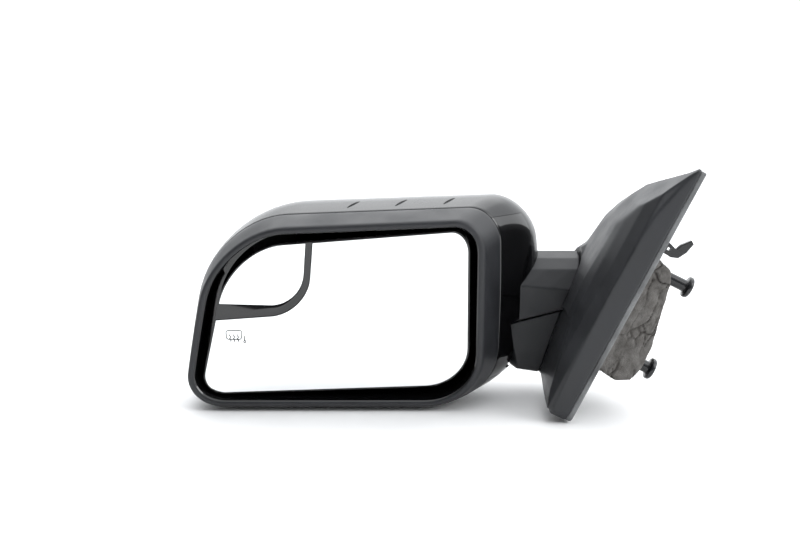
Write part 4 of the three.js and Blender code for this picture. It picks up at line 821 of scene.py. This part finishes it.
# %% [markdown]
# ## The foam
# The foam block fills the hole in the door behind the sail. It is cut from a soft open-celled slab,
# bent over the studs, and its skin cracks as it ages. It starts as the softened solid. Then every point
# moves along its own direction: slow noise gives soft lumps, and the borders between warped cells
# give cracks that run mostly along the block.

# %% Foam block
def crack_depth(point):
    """0 on whole skin, 1 at the bottom of a crack; point is in millimetres in the flange frame."""
    warp = noise.noise_vector(point * 0.07) * 4.0
    spot = Vector((point.x * 0.9, point.y * 1.15, point.z * 0.3)) + warp
    near = noise.voronoi(spot * 0.075)[0]
    wide = max(0.0, 1 - (near[1] - near[0]) / 0.055)
    near = noise.voronoi(spot * 0.2 + Vector((7, 3, 1)))[0]
    narrow = max(0.0, 1 - (near[1] - near[0]) / 0.09) * 0.3
    patch = 0.5 + 0.9 * noise.noise(point * 0.035 + Vector((2, 0, 5)))
    return min(1.0, max(wide ** 1.6 * min(1, max(0.0, patch + 0.05)), narrow * min(1, max(0.0, patch))))


def make_foam():
    made = softened("foam_pad", "foam_block", "base", "foam", cell=1.0, passes=40)
    mesh = made.data
    crack = mesh.attributes.new("crack", "FLOAT", "POINT")
    values = []
    for vertex in mesh.vertices:
        spot = (TO_FLANGE @ vertex.co) / MM
        deep = crack_depth(spot)
        lump = noise.noise(spot * 0.045) * 1.5 + noise.noise(spot * 0.13) * 0.5 + noise.noise(spot * 0.5) * 0.12
        inboard = min(1.0, max(0.0, (spot.x - 1) / 6))
        values.append(vertex.co + vertex.normal * ((lump - 1.0 - 1.8 * deep) * inboard * MM))
        crack.data[vertex.index].value = deep
    for vertex, place in zip(mesh.vertices, values):
        vertex.co = place
    return made


foam = make_foam()
print("foam points", len(foam.data.vertices))

# %% [markdown]
# ## Studs and hook
# The mirror is held by three studs with flat heads and hung on a small hook while it is bolted on. The
# studs are turned shapes, so each is a profile swept round its axis. The hook keeps the softened solid
# and gets the small window that lets it flex.

# %% Studs
def turned(profile, at, segments=64):
    """Closed turned shape along the flange's X axis; the profile is (along, radius)."""
    loops = []
    for along, radius in profile:
        ring = [Vector((along, at[0] + radius * math.cos(a), at[1] + radius * math.sin(a)))
                for a in np.linspace(0, 2 * math.pi, segments + 1)[:-1]]
        loops.append(np.array([FLANGE @ p for p in ring]))
    return skin(loops)[:2]


SAIL_HEIGHT = 234
STUD = [(-16.6, 4), (-7.6, 4), (-7.3, 5.2), (42.5, 5.2), (43.6, 5.35), (44.4, 5.8), (44.9, 6.6), (45.0, 8.4),
        (45.3, 9.0), (45.9, 9.3), (47.6, 9.3), (48.4, 8.95), (48.9, 8.3), (49.0, 7.6), (48.6, 6.6), (48.3, 5.6),
        (48.3, 0.4)]
for name, y, height in (("upper", 45, 140), ("lower", 27, 66), ("front", 114, 96)):
    points, faces = turned(STUD, (y, height - SAIL_HEIGHT / 2))
    object_from("stud_" + name, points, faces, "base", ["satin_black"], ["mounting_stud_" + name])
print("stud length", STUD[-1][0] - STUD[0][0], "mm")

# %% Hook
hook = softened("hook_moulding", "locating_hook", "base", "satin_black", cell=0.35, passes=3)
window = cutter(*block((8.0, 15, 45.3), (11.0, 29, 47.7)))
window.matrix_world = FLANGE
cut(hook, [("DIFFERENCE", window)], sharp=50)
print("hook faces", len(hook.data.polygons))

# %% [markdown]
# ## Parts inside
# The casting, the pivot, the drive and the screws are right as the engineering model has them. They
# keep their shape and get the finish of their own material.

# %% Finishes for the inner parts
count = 0
for row in frame["record"]["subparts"]:
    node = frame["nodes"][row["node"]]
    node.data.materials.clear()
    node.data.materials.append(FINISHES[row["material_slot"]])
    count += not node.hide_render
print("inner parts with a finish:", count)
